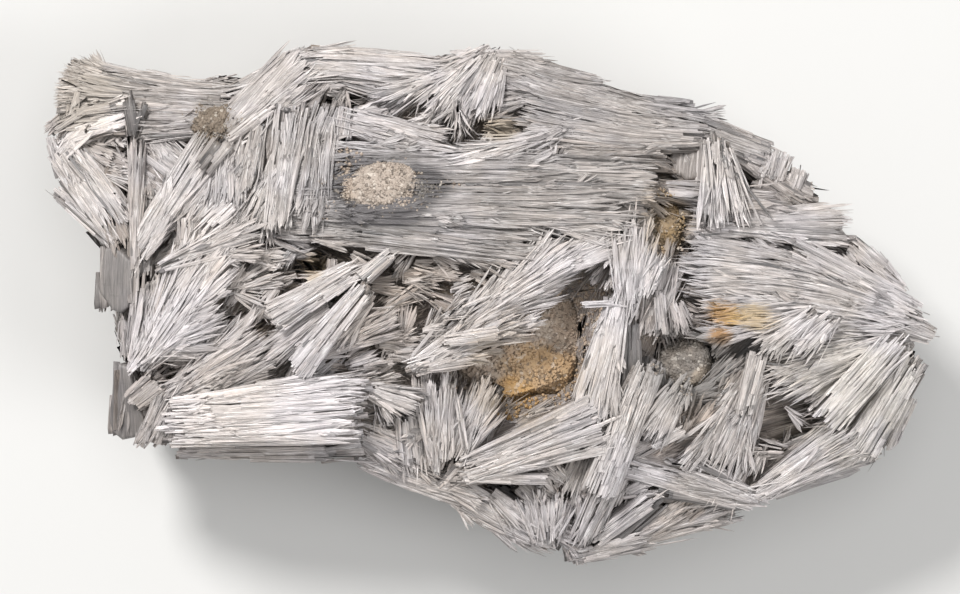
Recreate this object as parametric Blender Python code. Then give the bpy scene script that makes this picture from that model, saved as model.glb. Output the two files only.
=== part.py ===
"""A tremolite specimen: one fused mass of intergrown crystal sheaves, with four remnants of its dolomite matrix.

It lies on its broken back. +X runs along its length, +Y across it, +Z up, and the origin is the middle of its footprint.
Run with blender --background --python part.py, or from Blender's text editor. Sizes below are in millimetres.
"""

import math
import random
from collections import namedtuple

import bmesh
import bpy
from mathutils import Matrix, Vector

MM = 0.001
CREST = 36.0            # height of the display face at its middle
FALL_X = 9.0            # how far that face drops towards the two ends
FALL_Y = 10.0           # how far it drops towards the two long edges
HALF_LENGTH = 70.0
HALF_WIDTH = 41.3
MATRIX_GAP = 0.3        # clearance between a crystal and the matrix it grew on
FACE_SHARE = 0.44       # share of the faces kept once the union is made
SEED = 11
COLLECTION = "tremolite_specimen"

# How a blade ends: neck is its width at the tip as a share, reach how much its length varies.
End = namedtuple("End", "neck reach")
CUT = End(0.92, 0.03)       # broken square across
FRAYED = End(0.62, 0.09)    # broken ragged
SPIKY = End(0.22, 0.12)     # grown to points
ROUND = End(0.70, 0.02)     # a rounded paddle
PRISM = End(0.86, 0.02)     # one glassy prism

Sheaf = namedtuple("Sheaf", "name root tip width depth lift bow blades end")

# Every sheaf on the display face: where its centre line starts and ends, its width at both, its thickness, how far
# its face stands above the face of the specimen at both, its sideways bow, how many blades it has, and their ends.
FACE_SHEAVES = [Sheaf(*row) for row in (
    # the arm at the upper left
    ("arm", (-41, 32), (-68.5, 34.8), (5.5, 9.2), 9, (0, 0), 0.6, 3, CUT),
    ("arm_underside", (-61, 34), (-69, 26.4), (5, 4), 7, (-1, -2), 0, 2, CUT),
    ("arm_silver_blade", (-66, 25.3), (-56, 29.8), (2.6, 4.6), 4, (0, 0.5), 0, 1, CUT),
    ("arm_lower_band", (-45, 29), (-56, 28), (4, 3.5), 5, (-1, -0.5), 0, 2, FRAYED),
    ("dark_prism_left", (-56.6, 25.5), (-58, 34), (2.2, 2.4), 3, (1, 1.5), 0, 1, PRISM),
    ("dark_prism_right", (-56.4, 25.5), (-54.2, 31.6), (2, 2.6), 3, (1, 1.2), 0, 1, PRISM),
    ("upright_glass_blade", (-56.6, -1), (-56.3, 26), (1.8, 2.2), 4, (1, 1), 0, 1, PRISM),
    ("kite_blade", (-55.4, 24), (-48.2, 18.6), (7.5, 7), 4, (-1, -1.5), 0, 1, PRISM),
    ("kite_tail", (-54.2, 18), (-54.9, 4), (2.6, 3), 5, (-1, -1), 0, 1, CUT),
    ("lobe_slab", (-66.2, 23.6), (-59, 14), (6, 5), 6, (0, -0.5), 0, 3, CUT),
    ("lobe_inner", (-63, 24), (-57.5, 20.5), (3, 5), 5, (-2, -2), 0, 1, CUT),
    ("lobe_edge_blade", (-69, 18.4), (-58.6, 9.8), (2.6, 3), 5, (-2, -1), 0, 1, PRISM),
    ("lobe_rim", (-69.4, 26.6), (-67.4, 20), (2.6, 2.4), 6, (-1, -2), 0, 1, CUT),
    ("lobe_filler", (-66, 19), (-60, 12.5), (4, 4), 5, (-2, -2), 0, 2, CUT),
    ("brown_blades", (-61.5, 19.5), (-58, 8.5), (3.4, 3), 5, (-1, -1), 0, 2, FRAYED),
    ("glass_block_upper", (-60, 9.5), (-59.4, -1.2), (3.4, 5.4), 7, (-1, -1), 0, 1, PRISM),
    ("edge_splinters", (-57.8, -1.5), (-56, -9), (1.8, 3), 5, (-1, -1), 0, 1, SPIKY),
    ("glass_block_lower", (-58, -9), (-57.7, -21), (3, 4.8), 8, (-1, -1.5), 0, 1, PRISM),
    # the shoulder and the slabs that hang from it
    ("long_diagonal", (-55.5, 8.5), (-43.8, 26.5), (4.2, 4.4), 6, (1, 1.5), 0, 3, CUT),
    ("diagonal_glass", (-45.5, 21), (-41.5, 26), (2.6, 3), 4, (2, 2), 0, 1, PRISM),
    ("shoulder_fan", (-43, 26), (-28.4, 38.6), (6, 8), 8, (0.5, -0.5), 0, 4, CUT),
    ("shoulder_top", (-41, 33), (-29, 39.4), (3, 3.2), 7, (-1, -1), 0, 2, CUT),
    ("hanging_slab", (-31, 31.5), (-33.6, 11.2), (6.4, 3), 6, (2.5, 3), 0, 3, FRAYED),
    ("hanging_slab_left", (-36.2, 28.5), (-38.3, 17.6), (2.8, 3.4), 5, (1.5, 1.5), 0, 2, FRAYED),
    ("hanging_slab_right", (-25.6, 31.5), (-29, 21.8), (4.6, 4), 5, (1.5, 2), 0, 2, FRAYED),
    ("short_uprights", (-22.6, 31), (-23.4, 25.6), (2.6, 2.4), 4, (1.5, 1.5), 0, 1, CUT),
    ("cleaved_block", (-38.5, 19.5), (-46, 7.5), (7, 6.5), 6, (0, 0.5), 0, 3, CUT),
    ("cleavage_step", (-40.5, 16.5), (-44.5, 12.5), (3, 3), 4, (1, 1), 0, 1, PRISM),
    ("short_columns", (-47.5, 13.5), (-47.5, 8.5), (3.4, 3.4), 4, (1, 1), 0, 2, CUT),
    # the fans at the left
    ("left_fan_main", (-55.5, -10), (-42.5, 10.5), (3.6, 8.5), 7, (1.5, 2), 0, 4, FRAYED),
    ("left_fan_middle", (-54, -7), (-41.5, 1), (3, 6.5), 6, (1, 1.5), 0, 3, SPIKY),
    ("left_fan_low", (-53.5, -8), (-43.4, -6), (2.4, 3.6), 5, (0.5, 0), 0, 2, SPIKY),
    ("left_edge_mass", (-54, 4), (-55.8, -8), (4.5, 3.5), 7, (0, 0), 0, 2, FRAYED),
    ("crossing_lath_long", (-52.5, 5.5), (-36.5, 12.8), (1.6, 2.2), 3, (2.5, 2), 0, 1, SPIKY),
    ("crossing_lath_mid", (-43.5, 7.8), (-35.5, 8.3), (1.6, 1.8), 3, (2, 1.5), 0, 1, SPIKY),
    ("pink_block", (-56.6, -15.6), (-52, -12), (3.6, 4.6), 6, (0.5, 1), 0, 1, CUT),
    ("slab_tail", (-53.6, -21.6), (-49.6, -14), (4.6, 4.2), 6, (1, 1.5), 0, 2, CUT),
    ("low_left_fan", (-51.5, -14.8), (-36, -4), (3, 6), 6, (1, 0.5), 0, 3, SPIKY),
    ("low_left_fan_edge", (-46, -14), (-34, -8), (3, 4.5), 5, (0.5, 0), 0, 2, SPIKY),
    ("paddle_long", (-19.5, 3), (-30.4, -10.4), (3, 3.8), 5, (2.5, 3), 0, 1, ROUND),
    ("paddle_broad", (-20.5, 6), (-34.6, -2.4), (3, 4.4), 5, (2, 2), 0, 1, ROUND),
    ("paddle_under", (-25, 0), (-35.5, -8.5), (3, 4), 5, (0.5, 0.5), 0, 2, FRAYED),
    ("paddle_thin", (-18.5, 1.5), (-25.5, -6.5), (2, 2.4), 4, (1.5, 1.5), 0, 1, SPIKY),
    ("tan_fan", (-27, -7.8), (-14.5, -1), (2, 4.6), 5, (0.5, 1), 0, 3, SPIKY),
    ("pocket_chip", (-15.5, 8.3), (-20.5, 4), (1.8, 2.2), 4, (2, 2), 0, 1, CUT),
    # the top edge and its hollow
    ("top_ridge", (-30, 38.8), (-7.5, 37), (4.6, 3.4), 7, (0, -0.5), 0.3, 3, CUT),
    ("top_ridge_low", (-29.5, 37), (-13, 34.8), (2.4, 3), 5, (-1.5, -1), 0, 2, SPIKY),
    ("hollow_glass", (-20.5, 31), (-14.5, 35.2), (2.4, 3), 4, (-4, -3), 0, 1, PRISM),
    ("cascade_fan", (-1.5, 39.2), (-10.5, 29.5), (5, 11), 7, (0, 1), 0, 4, SPIKY),
    ("cascade_right", (1, 39.6), (-3, 29.5), (4, 4.5), 6, (0, 1), 0, 2, SPIKY),
    ("cascade_lath", (-7, 36.4), (-20, 31.8), (1.8, 2.6), 3.5, (1, 0.5), 0, 1, SPIKY),
    ("top_grey_cap", (-4.5, 37.6), (1.2, 39.6), (2.6, 2.6), 5, (-1, -1.5), 0, 1, CUT),
    ("hollow_lower_slab", (-22.5, 29), (-7, 24.6), (4.2, 4.6), 6, (1.5, 2), 0, 3, FRAYED),
    # the upper right edge
    ("crest_right_near", (2, 38), (17.5, 33), (5, 5), 7, (-0.5, -0.5), -0.6, 3, FRAYED),
    ("crest_right_middle", (13, 33.2), (35, 27.4), (5, 4.6), 7, (0, 0), -0.4, 3, FRAYED),
    ("crest_right_far", (31, 28.6), (43.6, 23.6), (4, 4), 6, (0, -0.5), -0.3, 2, CUT),
    ("right_grey_cap", (23, 31.9), (32, 30.4), (2.4, 2.6), 5, (-1, -1), 0, 1, CUT),
    ("upper_band", (34, 26.4), (4.5, 30.6), (4.6, 5.4), 7, (1, 1), 0.8, 3, FRAYED),
    ("upper_band_end", (12, 33.2), (1.5, 34), (2.5, 4.4), 5, (-1, -1.5), 0, 2, SPIKY),
    ("upper_band_low", (28, 25), (6, 26), (3.6, 3.4), 6, (0.5, 0.5), 0, 2, FRAYED),
    ("left_spray", (12.5, 27.6), (-7.4, 22.4), (2.6, 2.4), 4, (1.5, 2.5), 0.6, 2, SPIKY),
    ("curved_tan_laths", (9.5, 26), (1.5, 22.6), (2.4, 2.2), 4, (-0.5, 0), 0, 1, SPIKY),
    ("band_shadow", (28, 23.2), (8, 23), (2.6, 2.6), 6, (-1.5, -1.5), 0, 1, FRAYED),
    # the long ridge across the middle
    ("ridge_top", (-27, 22), (26, 19.6), (6.4, 4.6), 8, (3, 2), 0, 3, FRAYED),
    ("ridge_middle", (-30, 17), (23, 15.6), (6.5, 5), 8, (4, 3), 0, 3, FRAYED),
    ("ridge_low", (-28, 12.4), (8, 9.6), (4.2, 4.4), 7, (2.5, 1.5), 0, 3, FRAYED),
    ("ridge_drape", (-18, 11.5), (3.5, 6.2), (2.4, 3), 5, (1.5, 1), 0.8, 2, SPIKY),
    ("ridge_tips", (2, 14.5), (21, 12.5), (3.6, 4.2), 6, (2.5, 2.5), 0, 3, SPIKY),
    ("ridge_end", (16, 18), (25.5, 17.4), (3.5, 3), 5, (3, 2.5), 0, 1, CUT),
    # the right end
    ("hanging_lilac", (34.2, 26.6), (34.4, 10.8), (3.6, 1.8), 4, (3, 2.5), 0, 2, SPIKY),
    ("hanging_lilac_side", (36.2, 25.6), (39.2, 11.4), (2.6, 1.6), 3.5, (2.5, 2), 0, 1, SPIKY),
    ("right_flank_slab", (37, 24.6), (50.2, 16.6), (2, 4.6), 7, (-1, -1.5), 0, 2, CUT),
    ("round_block_large", (43.6, 19.6), (45, 24.2), (4.2, 4), 6, (-0.5, -1), 0, 2, CUT),
    ("round_block_small", (47.2, 18), (48.4, 21.2), (2.8, 2.6), 5, (-1, -1.5), 0, 1, CUT),
    ("right_flank_low", (39.5, 18.5), (51, 15.4), (3, 2.6), 6, (-2, -2), 0, 1, CUT),
    ("fan_upper_end", (35, 13), (56.8, 12.4), (3, 6.6), 8, (0.5, 0.5), 0, 4, FRAYED),
    ("fan_upper_thin", (25, 18.6), (46, 15.2), (3, 1.8), 5, (1, 1), 0, 1, SPIKY),
    ("fan_upper_left", (46, 12.5), (29, 13.5), (3, 4.5), 6, (0, 0), 0, 2, FRAYED),
    ("great_fan_outer", (67.2, -1), (46, 9.4), (2.4, 3), 6, (0, 1), -0.8, 2, CUT),
    ("great_fan_rim", (65, 1.4), (55.6, 9.8), (2, 3.2), 7, (-2, -2), -1, 1, CUT),
    ("great_fan_upper", (68, -2.4), (28.5, 8), (2.6, 5.4), 7, (0, 0.5), -2.8, 3, FRAYED),
    ("great_fan_middle", (68.4, -3.2), (30, 3.4), (2.6, 4.6), 7, (0.5, 0.5), -2.6, 3, FRAYED),
    ("great_fan_lower", (66, -4.2), (34, -2.2), (2.4, 6), 7, (0.5, 1), -1.8, 3, SPIKY),
    ("fan_root_knob", (69.6, -5), (64, -2.8), (2.6, 4), 7, (-1, -0.5), 0, 1, CUT),
    ("leaf_outer", (54, -1.6), (46.6, -8.4), (2.8, 3.2), 4, (1.5, 1.5), 0, 1, SPIKY),
    ("leaf_inner", (50.5, -0.8), (42.2, -6.6), (2.6, 3), 4, (2, 1.5), 0, 1, SPIKY),
    ("fine_fan", (63, -5.6), (43.5, -12), (4.6, 6), 6, (0, 0), 0, 4, SPIKY),
    ("right_slab_inner", (64, -5.4), (51.6, -19), (5.4, 5.6), 8, (1, 1), 0, 3, CUT),
    ("right_slab_outer", (66.6, -8.6), (57, -24), (4.6, 6), 8, (0, 0), 0, 3, CUT),
    ("right_slab_rim", (66, -14.5), (62, -23), (2.4, 2.6), 7, (-2, -3), 0, 1, CUT),
    ("lower_right_fan", (41, -30.2), (57, -21), (3, 7.4), 7, (0, 0.5), 0, 3, FRAYED),
    ("lower_right_rim", (40, -31.6), (60.6, -23.8), (1.8, 2), 6, (-2, -2), 0.5, 1, CUT),
    ("hollow_wall", (53.5, -16), (40.5, -19.5), (11, 10), 4, (-9, -9), 0, 1, PRISM),
    ("lilac_leaf", (41.6, -7.4), (39, -17.4), (3, 2.4), 5, (0.5, 0.5), 0, 1, CUT),
    ("small_hollow_wall", (33, -14), (42.5, -5), (5, 5), 4, (-4, -4), 0, 1, PRISM),
    ("centre_right_fan", (42, -9.5), (34.6, -26), (4.4, 8.6), 7, (-1, 0), 0, 4, SPIKY),
    ("apex_fan", (41.4, -30.4), (28.5, -25.4), (2, 5), 5, (0, 0), 0, 2, SPIKY),
    ("bottom_wedge", (19.5, -25), (41.4, -31.2), (3.8, 2.6), 7, (0, -1), 0, 2, CUT),
    ("bottom_wedge_edge", (25, -29.4), (40.2, -32), (1.8, 1.6), 4, (-0.5, -1.5), 0, 1, PRISM),
    ("tan_plate", (26.2, -24.6), (38.5, -12.4), (5.6, 5), 6, (-2, -2), 0, 1, CUT),
    # the uprights right of the pocket
    ("pillar_slab", (24.6, -9), (16.6, -30), (4.6, 5.6), 7, (1.5, 2.5), 0, 3, CUT),
    ("pillar_wing", (29.5, -12.6), (23.6, -21.6), (4, 3.6), 5, (1, 1.5), 0, 2, SPIKY),
    ("pillar_foot", (17.8, -29), (13.4, -38), (5, 2.6), 6, (0.5, 0), 0, 2, CUT),
    ("white_slab", (19.6, 1), (15.6, -17.4), (3.6, 6.4), 7, (1.5, 2), 0, 3, FRAYED),
    ("centre_column", (20.8, -2.5), (22.6, 13.4), (3.4, 4.6), 6, (1.5, 3), 0, 3, SPIKY),
    ("centre_column_side", (23.4, 1), (26.2, 9.4), (2.6, 2.2), 5, (2, 2), 0, 1, SPIKY),
    ("centre_leaf", (19.6, 10.2), (18.4, 5.2), (1.6, 2.2), 4, (1.5, 1.5), 0, 1, SPIKY),
    ("grey_side", (21.6, -2.4), (21.4, -15.4), (2.4, 3.4), 5, (0, 0.5), 0, 1, CUT),
    ("drop_lath_left", (25.8, 2.2), (26.4, -5), (1.6, 1.8), 4, (0.5, 0.5), 0, 1, CUT),
    ("drop_lath_right", (28.4, 0.8), (30, -4.6), (2.6, 2.6), 4, (-0.5, -0.5), 0, 1, SPIKY),
    # the fans that cross the pocket
    ("mid_fan_upper", (-5, -3.4), (12.6, 9.2), (3, 6.6), 7, (1, 2), 0, 4, SPIKY),
    ("mid_fan_tips", (8, 4.8), (19, 11), (2.6, 3.6), 5, (1.5, 2), 0, 2, SPIKY),
    ("mid_fan_side", (-2, -2.4), (11.4, 3.6), (2, 3.4), 5, (0.5, 0.5), 0, 2, SPIKY),
    ("mid_fan_lower", (-13.5, -10), (5, -0.6), (2.6, 4.4), 6, (1, 1.5), 0, 3, SPIKY),
    ("mid_fan_third", (-6, -5.5), (6.4, -3.4), (2.4, 3.4), 4, (0.5, 0.5), 0, 2, SPIKY),
    ("bright_finger", (-8, -5.6), (1.2, -4.3), (1.6, 1.6), 3, (2.5, 2.5), 0, 1, ROUND),
    ("low_finger", (-11, -10), (-2.4, -7.4), (1.8, 2.6), 4, (1.5, 1), 0, 1, SPIKY),
    # the great slab and the lower edge
    ("great_slab", (-51.6, -18.6), (-20.2, -16.4), (8, 8.6), 9, (2.5, 3.5), -0.3, 4, CUT),
    ("great_slab_upper", (-37, -13.2), (-18.8, -12.6), (2.4, 2.4), 5, (2.5, 2.5), 0, 1, CUT),
    ("slab_base", (-49.6, -22.8), (-24.6, -22.8), (2.8, 3.2), 7, (-1.5, -1.5), 0, 2, CUT),
    ("slab_foot", (-26, -22.2), (-20, -21.2), (3.4, 4.6), 7, (-0.5, -1), 0, 1, PRISM),
    ("corner_mass", (-21, -20), (-11, -24.8), (4, 5), 8, (-1, -2), 0, 2, CUT),
    ("jagged_spray", (-19.5, -13), (-10.4, -16.2), (2.4, 3.4), 4, (1, 1), 0, 2, SPIKY),
    ("lilac_wall", (-12.8, -17.4), (-12, -25.2), (5, 5), 6, (-1, -1.5), 0, 2, CUT),
    ("vertical_fan_left", (-8.4, -25.6), (-7.6, -12), (3, 5), 6, (0, -0.5), 0, 3, FRAYED),
    ("vertical_fan_right", (-5.6, -24.6), (0, -12.6), (2.6, 4.4), 6, (0, -0.5), 0, 3, FRAYED),
    ("lower_slab", (-5, -26.2), (17.2, -18.4), (4.2, 9), 8, (1, 2.5), 0, 4, CUT),
    ("lower_slab_edge", (-5.6, -27), (9, -27.4), (1.8, 1.8), 4, (0.5, 0.5), 0, 1, CUT),
    ("pink_facet", (4.5, -28), (9.4, -32), (4.6, 5), 4, (-2, -2), 0, 1, PRISM),
    ("bottom_fan", (8.6, -38), (8.4, -30), (5, 9), 7, (-1, -1), 0, 4, SPIKY),
    ("side_fibres", (14.4, -23), (11.5, -30), (3, 3.4), 5, (-1, -1), 0, 1, FRAYED),
    ("bottom_rim", (-6, -29.8), (10.6, -38.2), (3.4, 3.2), 8, (-3, -3), -0.8, 2, CUT),
    ("left_bottom_band", (-21, -24.2), (-4, -30), (3, 3), 8, (-3, -3), -0.4, 2, CUT),
    ("apex_block", (13.4, -37.4), (14, -41), (5, 1.8), 6, (-2, -3), 0, 1, CUT),
    ("foot_lath_white", (15.6, -37.4), (25.4, -29.8), (2, 2.4), 4, (-0.5, -0.5), 0, 1, CUT),
    ("foot_lath_dark", (19, -37.8), (27, -30.4), (2.6, 2.6), 4, (-1, -1), 0, 1, CUT),
    ("foot_lath_tan", (22.5, -37), (31, -31.6), (2.4, 3), 4, (-1.5, -1.5), 0, 1, FRAYED),
    ("right_bottom_rim", (16.8, -39), (38.6, -32.8), (3.2, 2), 7, (-3, -3), 0, 2, CUT),
)]

# The rim of the specimen, walked round once from the left end of the arm.
OUTLINE = [
    (-69.8, 33), (-66, 39), (-55, 36), (-42, 34), (-34, 38.3), (-28, 41), (-18, 39.2), (-9, 38.7), (1, 41),
    (10, 37.5), (22, 33), (32, 31), (43, 24.8), (49.4, 19), (56, 14), (62, 5), (69.6, -4.6), (66.6, -13), (66, -19.5),
    (58, -25), (50, -29.3), (40, -32.6), (30, -36), (20, -39.2), (14, -41.2), (8, -39), (-3, -33), (-13, -27.2),
    (-25, -24.2), (-41, -24), (-50, -23.6), (-59.6, -20.6), (-59.6, -11), (-58.4, -4), (-61.6, 3), (-60.8, 10),
    (-69, 18.6), (-70.4, 26),
]
HEART_SHARE = 0.95          # the solid heart of the mass stays this far inside the rim
HEART_DEPTH = 4.5           # and this far below the display face
BACK_RELIEF = 2.2           # the sheaves on the back stand this far out of it

# The heart from its top down: share of the rim, share of the display face's height taken, and height added.
HEART_ROWS = ((0.52, 1, -HEART_DEPTH), (0.8, 1, -HEART_DEPTH), (0.965, 1, -7), (1.0, 0.5, 3), (0.95, 0, 8.5),
              (0.84, 0, BACK_RELIEF), (0.45, 0, BACK_RELIEF))

# Broken sheaves round the flank, tier by tier: lowest and highest middle, inset from the rim, and how far it faces up.
FLANK_TIERS = ((17, 23, 1.6, 0.3), (10, 15, 2.2, -0.05), (2.5, 7.5, 5.5, -0.4))
FLANK_WIDTH = (6.5, 9.5)
FLANK_BULGE = 2.4

# Deep gaps between the sheaves: middle, half lengths across and along, and depth below the display face.
HOLLOWS = [
    ((47.4, -18.2), (5.6, 6.4), 14), ((38.6, -9.6), (4.2, 4.4), 10), ((-30, 6.4), (5.4, 3.4), 12),
    ((-36.6, -3), (4.6, 4), 10), ((-22, 34.2), (4.4, 2.6), 11), ((30, 22), (2.8, 2.6), 9), ((39.6, 19.6), (2.8, 3), 9),
    ((-52, 14.8), (2.4, 2.6), 9), ((2.2, -29.4), (3, 2), 9), ((0.6, 28), (3, 1.6), 8), ((57.6, -8.6), (3, 2.6), 9),
    ((31.5, 10.5), (3, 2.6), 8), ((-12, -20.5), (2.4, 3), 8),
]

# The broken sheaves of the back that it rests on: ends of the centre line, width, and tilt in degrees.
BACK_SHEAVES = [
    ((-56, 20), (-24, 29), 10, 3), ((-50, 31), (-34, 10), 8, -4), ((-53, -12), (-17, -17), 12, 2),
    ((-50, 3), (-10, 8), 11, -2), ((-17, 31), (20, 25), 11, 3), ((8, 17), (50, 5), 12, 2),
    ((20, -26), (54, -16), 11, -3), ((-14, -8), (30, -5), 13, 2), ((-2, -22), (20, -31), 9, 4),
    ((32, -9), (56, -1), 9, 5),
]

# Remnants of the dolomite that the crystals grew in: middle, half lengths, turn in degrees, and how far the top
# lies below the display face.
MATRIX = {
    "dolomite_pocket": ((1.5, -3.5), (17.5, 12.5, 9), -18, 3.2),
    "dolomite_crust_ridge": ((-17.4, 18), (6.9, 4.1, 3), 8, -4.6),
    "dolomite_crust_right": ((30.2, -9.6), (4.6, 4.6, 4), 0, 1.6),
    "dolomite_crust_shoulder": ((-43.8, 28.4), (3.6, 2.6, 3), 20, -1.4),
    "dolomite_crust_pillar": ((27.4, 11.8), (2.6, 4.2, 3.4), 0, 1.2),
}


def crest(x, y):
    """Height of the display face, a low dome that falls towards every edge."""
    return CREST - FALL_X * (x / HALF_LENGTH) ** 2 - FALL_Y * (y / HALF_WIDTH) ** 2


def crest_normal(x, y):
    slope_x = -2 * FALL_X * x / HALF_LENGTH ** 2
    slope_y = -2 * FALL_Y * y / HALF_WIDTH ** 2
    return Vector((-slope_x, -slope_y, 1)).normalized()


def rim_radius(angle):
    """Distance from the middle to the rim in one direction."""
    ray = Vector((math.cos(angle), math.sin(angle)))
    best = 0.0
    for a, b in zip(OUTLINE, OUTLINE[1:] + OUTLINE[:1]):
        a, edge = Vector(a), Vector(b) - Vector(a)
        cross = ray.x * edge.y - ray.y * edge.x
        if abs(cross) < 1e-9:
            continue
        along = (a.x * edge.y - a.y * edge.x) / cross
        share = (a.x * ray.y - a.y * ray.x) / cross
        if 0 <= share <= 1 and along > best:
            best = along
    return best


def add_blade(bm, path, width, depth, end, tilt=0.0, grow=0.0):
    """One flat-sided blade: a cube cut across at its shoulder and bent along the path.

    path(u) gives the middle of its face, the direction across it and the direction out of it.
    """
    made = bmesh.ops.create_cube(bm, size=1)["verts"]
    length = (path(1)[0] - path(0)[0]).length
    shoulder = 1 - min(0.45, 0.9 * width(1) / length)
    cuts = [0.5] if end in (CUT, PRISM) else [shoulder]
    if end in (CUT, PRISM) and path(0.5)[3] < 0.05:
        cuts = []
    geometry = made + list({e for v in made for e in v.link_edges} | {f for v in made for f in v.link_faces})
    for cut in cuts:
        split = bmesh.ops.bisect_plane(bm, geom=geometry, plane_co=(cut - 0.5, 0, 0), plane_no=(1, 0, 0))
        geometry = list(set(geometry) | set(split["geom"]) | set(split["geom_cut"]))
    for vert in {g for g in geometry if isinstance(g, bmesh.types.BMVert) and g.is_valid}:
        u = vert.co.x + 0.5
        middle, across, out, _bend = path(u)
        reach = (-grow if u < 0.01 else grow if u > 0.99 else 0)
        half = width(u) / 2 * (end.neck if u > 0.99 else 1) + grow
        side = 1 if vert.co.y > 0 else -1
        down = -grow if vert.co.z > 0 else depth * (0.8 if u > 0.99 else 1) + grow
        along = (path(1)[0] - path(0)[0]).normalized()
        narrow = 1 if vert.co.z > 0 else 0.82
        vert.co = (middle + along * reach + across * side * half * narrow
                   - out * (down - side * math.tan(tilt) * half))


def add_sheaf(bm, sheaf, rng, grow=0.0):
    """A bundle of blades that spread from the root of the sheaf to its tip."""
    root, tip = Vector(sheaf.root), Vector(sheaf.tip)
    run = tip - root
    side = Vector((-run.y, run.x)).normalized()
    count = {4: 3, 3: 2}.get(sheaf.blades, sheaf.blades)
    for index in range(count):
        place = (index + 0.5) / count - 0.5
        shift = place + rng.uniform(-0.05, 0.05)
        extra = 1 + rng.uniform(-1, 0.4) * sheaf.end.reach
        rise = rng.uniform(-0.35, 0.35) - 1.6 * abs(place)
        tilt = math.radians(rng.choice((-1, 1)) * rng.uniform(6, 18))
        overlap = 1.0 if count == 1 else 1.3

        def spread(u):
            return sheaf.width[0] + (sheaf.width[1] - sheaf.width[0]) * u

        def path(u):
            u *= extra
            flat = root + run * u + side * (sheaf.bow * 4 * u * (1 - u) + spread(u) * shift * (1 if count > 1 else 0))
            out = crest_normal(flat.x, flat.y)
            lift = sheaf.lift[0] + (sheaf.lift[1] - sheaf.lift[0]) * u + rise
            middle = Vector((flat.x, flat.y, crest(flat.x, flat.y) + lift))
            across = out.cross(Vector((run.x, run.y, 0)).normalized()).normalized()
            return middle, across, out, abs(sheaf.bow)

        add_blade(bm, path, lambda u: spread(u) / count * overlap, sheaf.depth, sheaf.end, tilt, grow)


def add_rim_blade(bm, a, b, out, width, depth, tilt=0.0, bulge=0.0):
    """A blade between two points whose face looks along out and bulges that way in its middle."""
    a, b = Vector(a), Vector(b)
    across = Vector(out).cross((b - a).normalized()).normalized()
    face = (b - a).normalized().cross(across)

    def path(u):
        return a + (b - a) * u + face * (bulge * 4 * u * (1 - u)), across, face, bulge

    add_blade(bm, path, lambda u: width, depth, CUT, tilt)


def heart(bm):
    """The closed middle of the mass: a sphere drawn out to the rim and the display face."""
    bmesh.ops.create_uvsphere(bm, u_segments=30, v_segments=len(HEART_ROWS) + 1, radius=1)
    levels = sorted({round(v.co.z, 5) for v in bm.verts}, reverse=True)
    for vert in bm.verts:
        row = levels.index(round(vert.co.z, 5))
        angle = math.atan2(vert.co.y, vert.co.x)
        if row in (0, len(levels) - 1):
            vert.co = (0, 0, crest(0, 0) - HEART_DEPTH if row == 0 else BACK_RELIEF)
            continue
        share, of_face, height = HEART_ROWS[row - 1]
        radius = rim_radius(angle) * HEART_SHARE * share
        x, y = radius * math.cos(angle), radius * math.sin(angle)
        vert.co = (x, y, crest(x, y) * of_face + height)


def lump(bm, middle, half, turn, below, detail, seed, grow=0.0):
    """A rounded faceted lump of matrix with its top that far below the display face."""
    rng = random.Random(seed)
    made = bmesh.ops.create_icosphere(bm, subdivisions=detail, radius=1)["verts"]
    spin = Matrix.Rotation(math.radians(turn), 3, "Z")
    base = Vector((middle[0], middle[1], crest(*middle) - below - half[2]))
    for vert in made:
        rough = 1 + rng.uniform(-0.09, 0.09)
        scaled = Vector([c * rough * (h + grow * 1.6) for c, h in zip(vert.co, half)])
        vert.co = base + spin @ scaled


def new_object(name, bm, collection):
    mesh = bpy.data.meshes.new(name)
    for vert in bm.verts:
        vert.co *= MM
    bmesh.ops.triangulate(bm, faces=bm.faces)
    bm.to_mesh(mesh)
    bm.free()
    made = bpy.data.objects.new(name, mesh)
    collection.objects.link(made)
    if collection.name == "cutters":
        made.hide_render, made.display_type = True, "WIRE"
    return made


def apply_boolean(target, cutter, operation, use_self=False):
    """Run one exact Boolean and keep its result as plain mesh."""
    modifier = target.modifiers.new("cut", "BOOLEAN")
    modifier.operation, modifier.object, modifier.solver = operation, cutter, "EXACT"
    modifier.use_self = use_self
    bpy.context.view_layer.update()
    result = target.evaluated_get(bpy.context.evaluated_depsgraph_get()).to_mesh().copy()
    target.modifiers.clear()
    target.data = result


def largest_shell(target):
    """Keep the one outer body: crumbs and the walls of sealed gaps go."""
    bm = bmesh.new()
    bm.from_mesh(target.data)
    shells, seen = [], set()
    for face in bm.faces:
        if face in seen:
            continue
        shell, queue = [], [face]
        seen.add(face)
        while queue:
            item = queue.pop()
            shell.append(item)
            for other in {near for edge in item.edges for near in edge.link_faces} - seen:
                seen.add(other)
                queue.append(other)
        shells.append(shell)
    shells.sort(key=lambda shell: sum(face.calc_area() for face in shell), reverse=True)
    for shell in shells[1:]:
        bmesh.ops.delete(bm, geom=shell, context="FACES")
    bmesh.ops.triangulate(bm, faces=bm.faces)
    open_edges = sum(not edge.is_manifold for edge in bm.edges)
    print(target.name, len(bm.faces), "triangles,", open_edges, "open edges,", len(shells) - 1, "crumbs dropped,",
          round(bm.calc_volume() * 1e6, 2), "cm3")
    bm.to_mesh(target.data)
    bm.free()


def fewer_faces(target, share):
    """Collapse the shortest edges until this share of the faces is left."""
    modifier = target.modifiers.new("fewer", "DECIMATE")
    modifier.ratio = share
    bpy.context.view_layer.update()
    result = target.evaluated_get(bpy.context.evaluated_depsgraph_get()).to_mesh().copy()
    target.modifiers.clear()
    target.data = result


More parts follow.
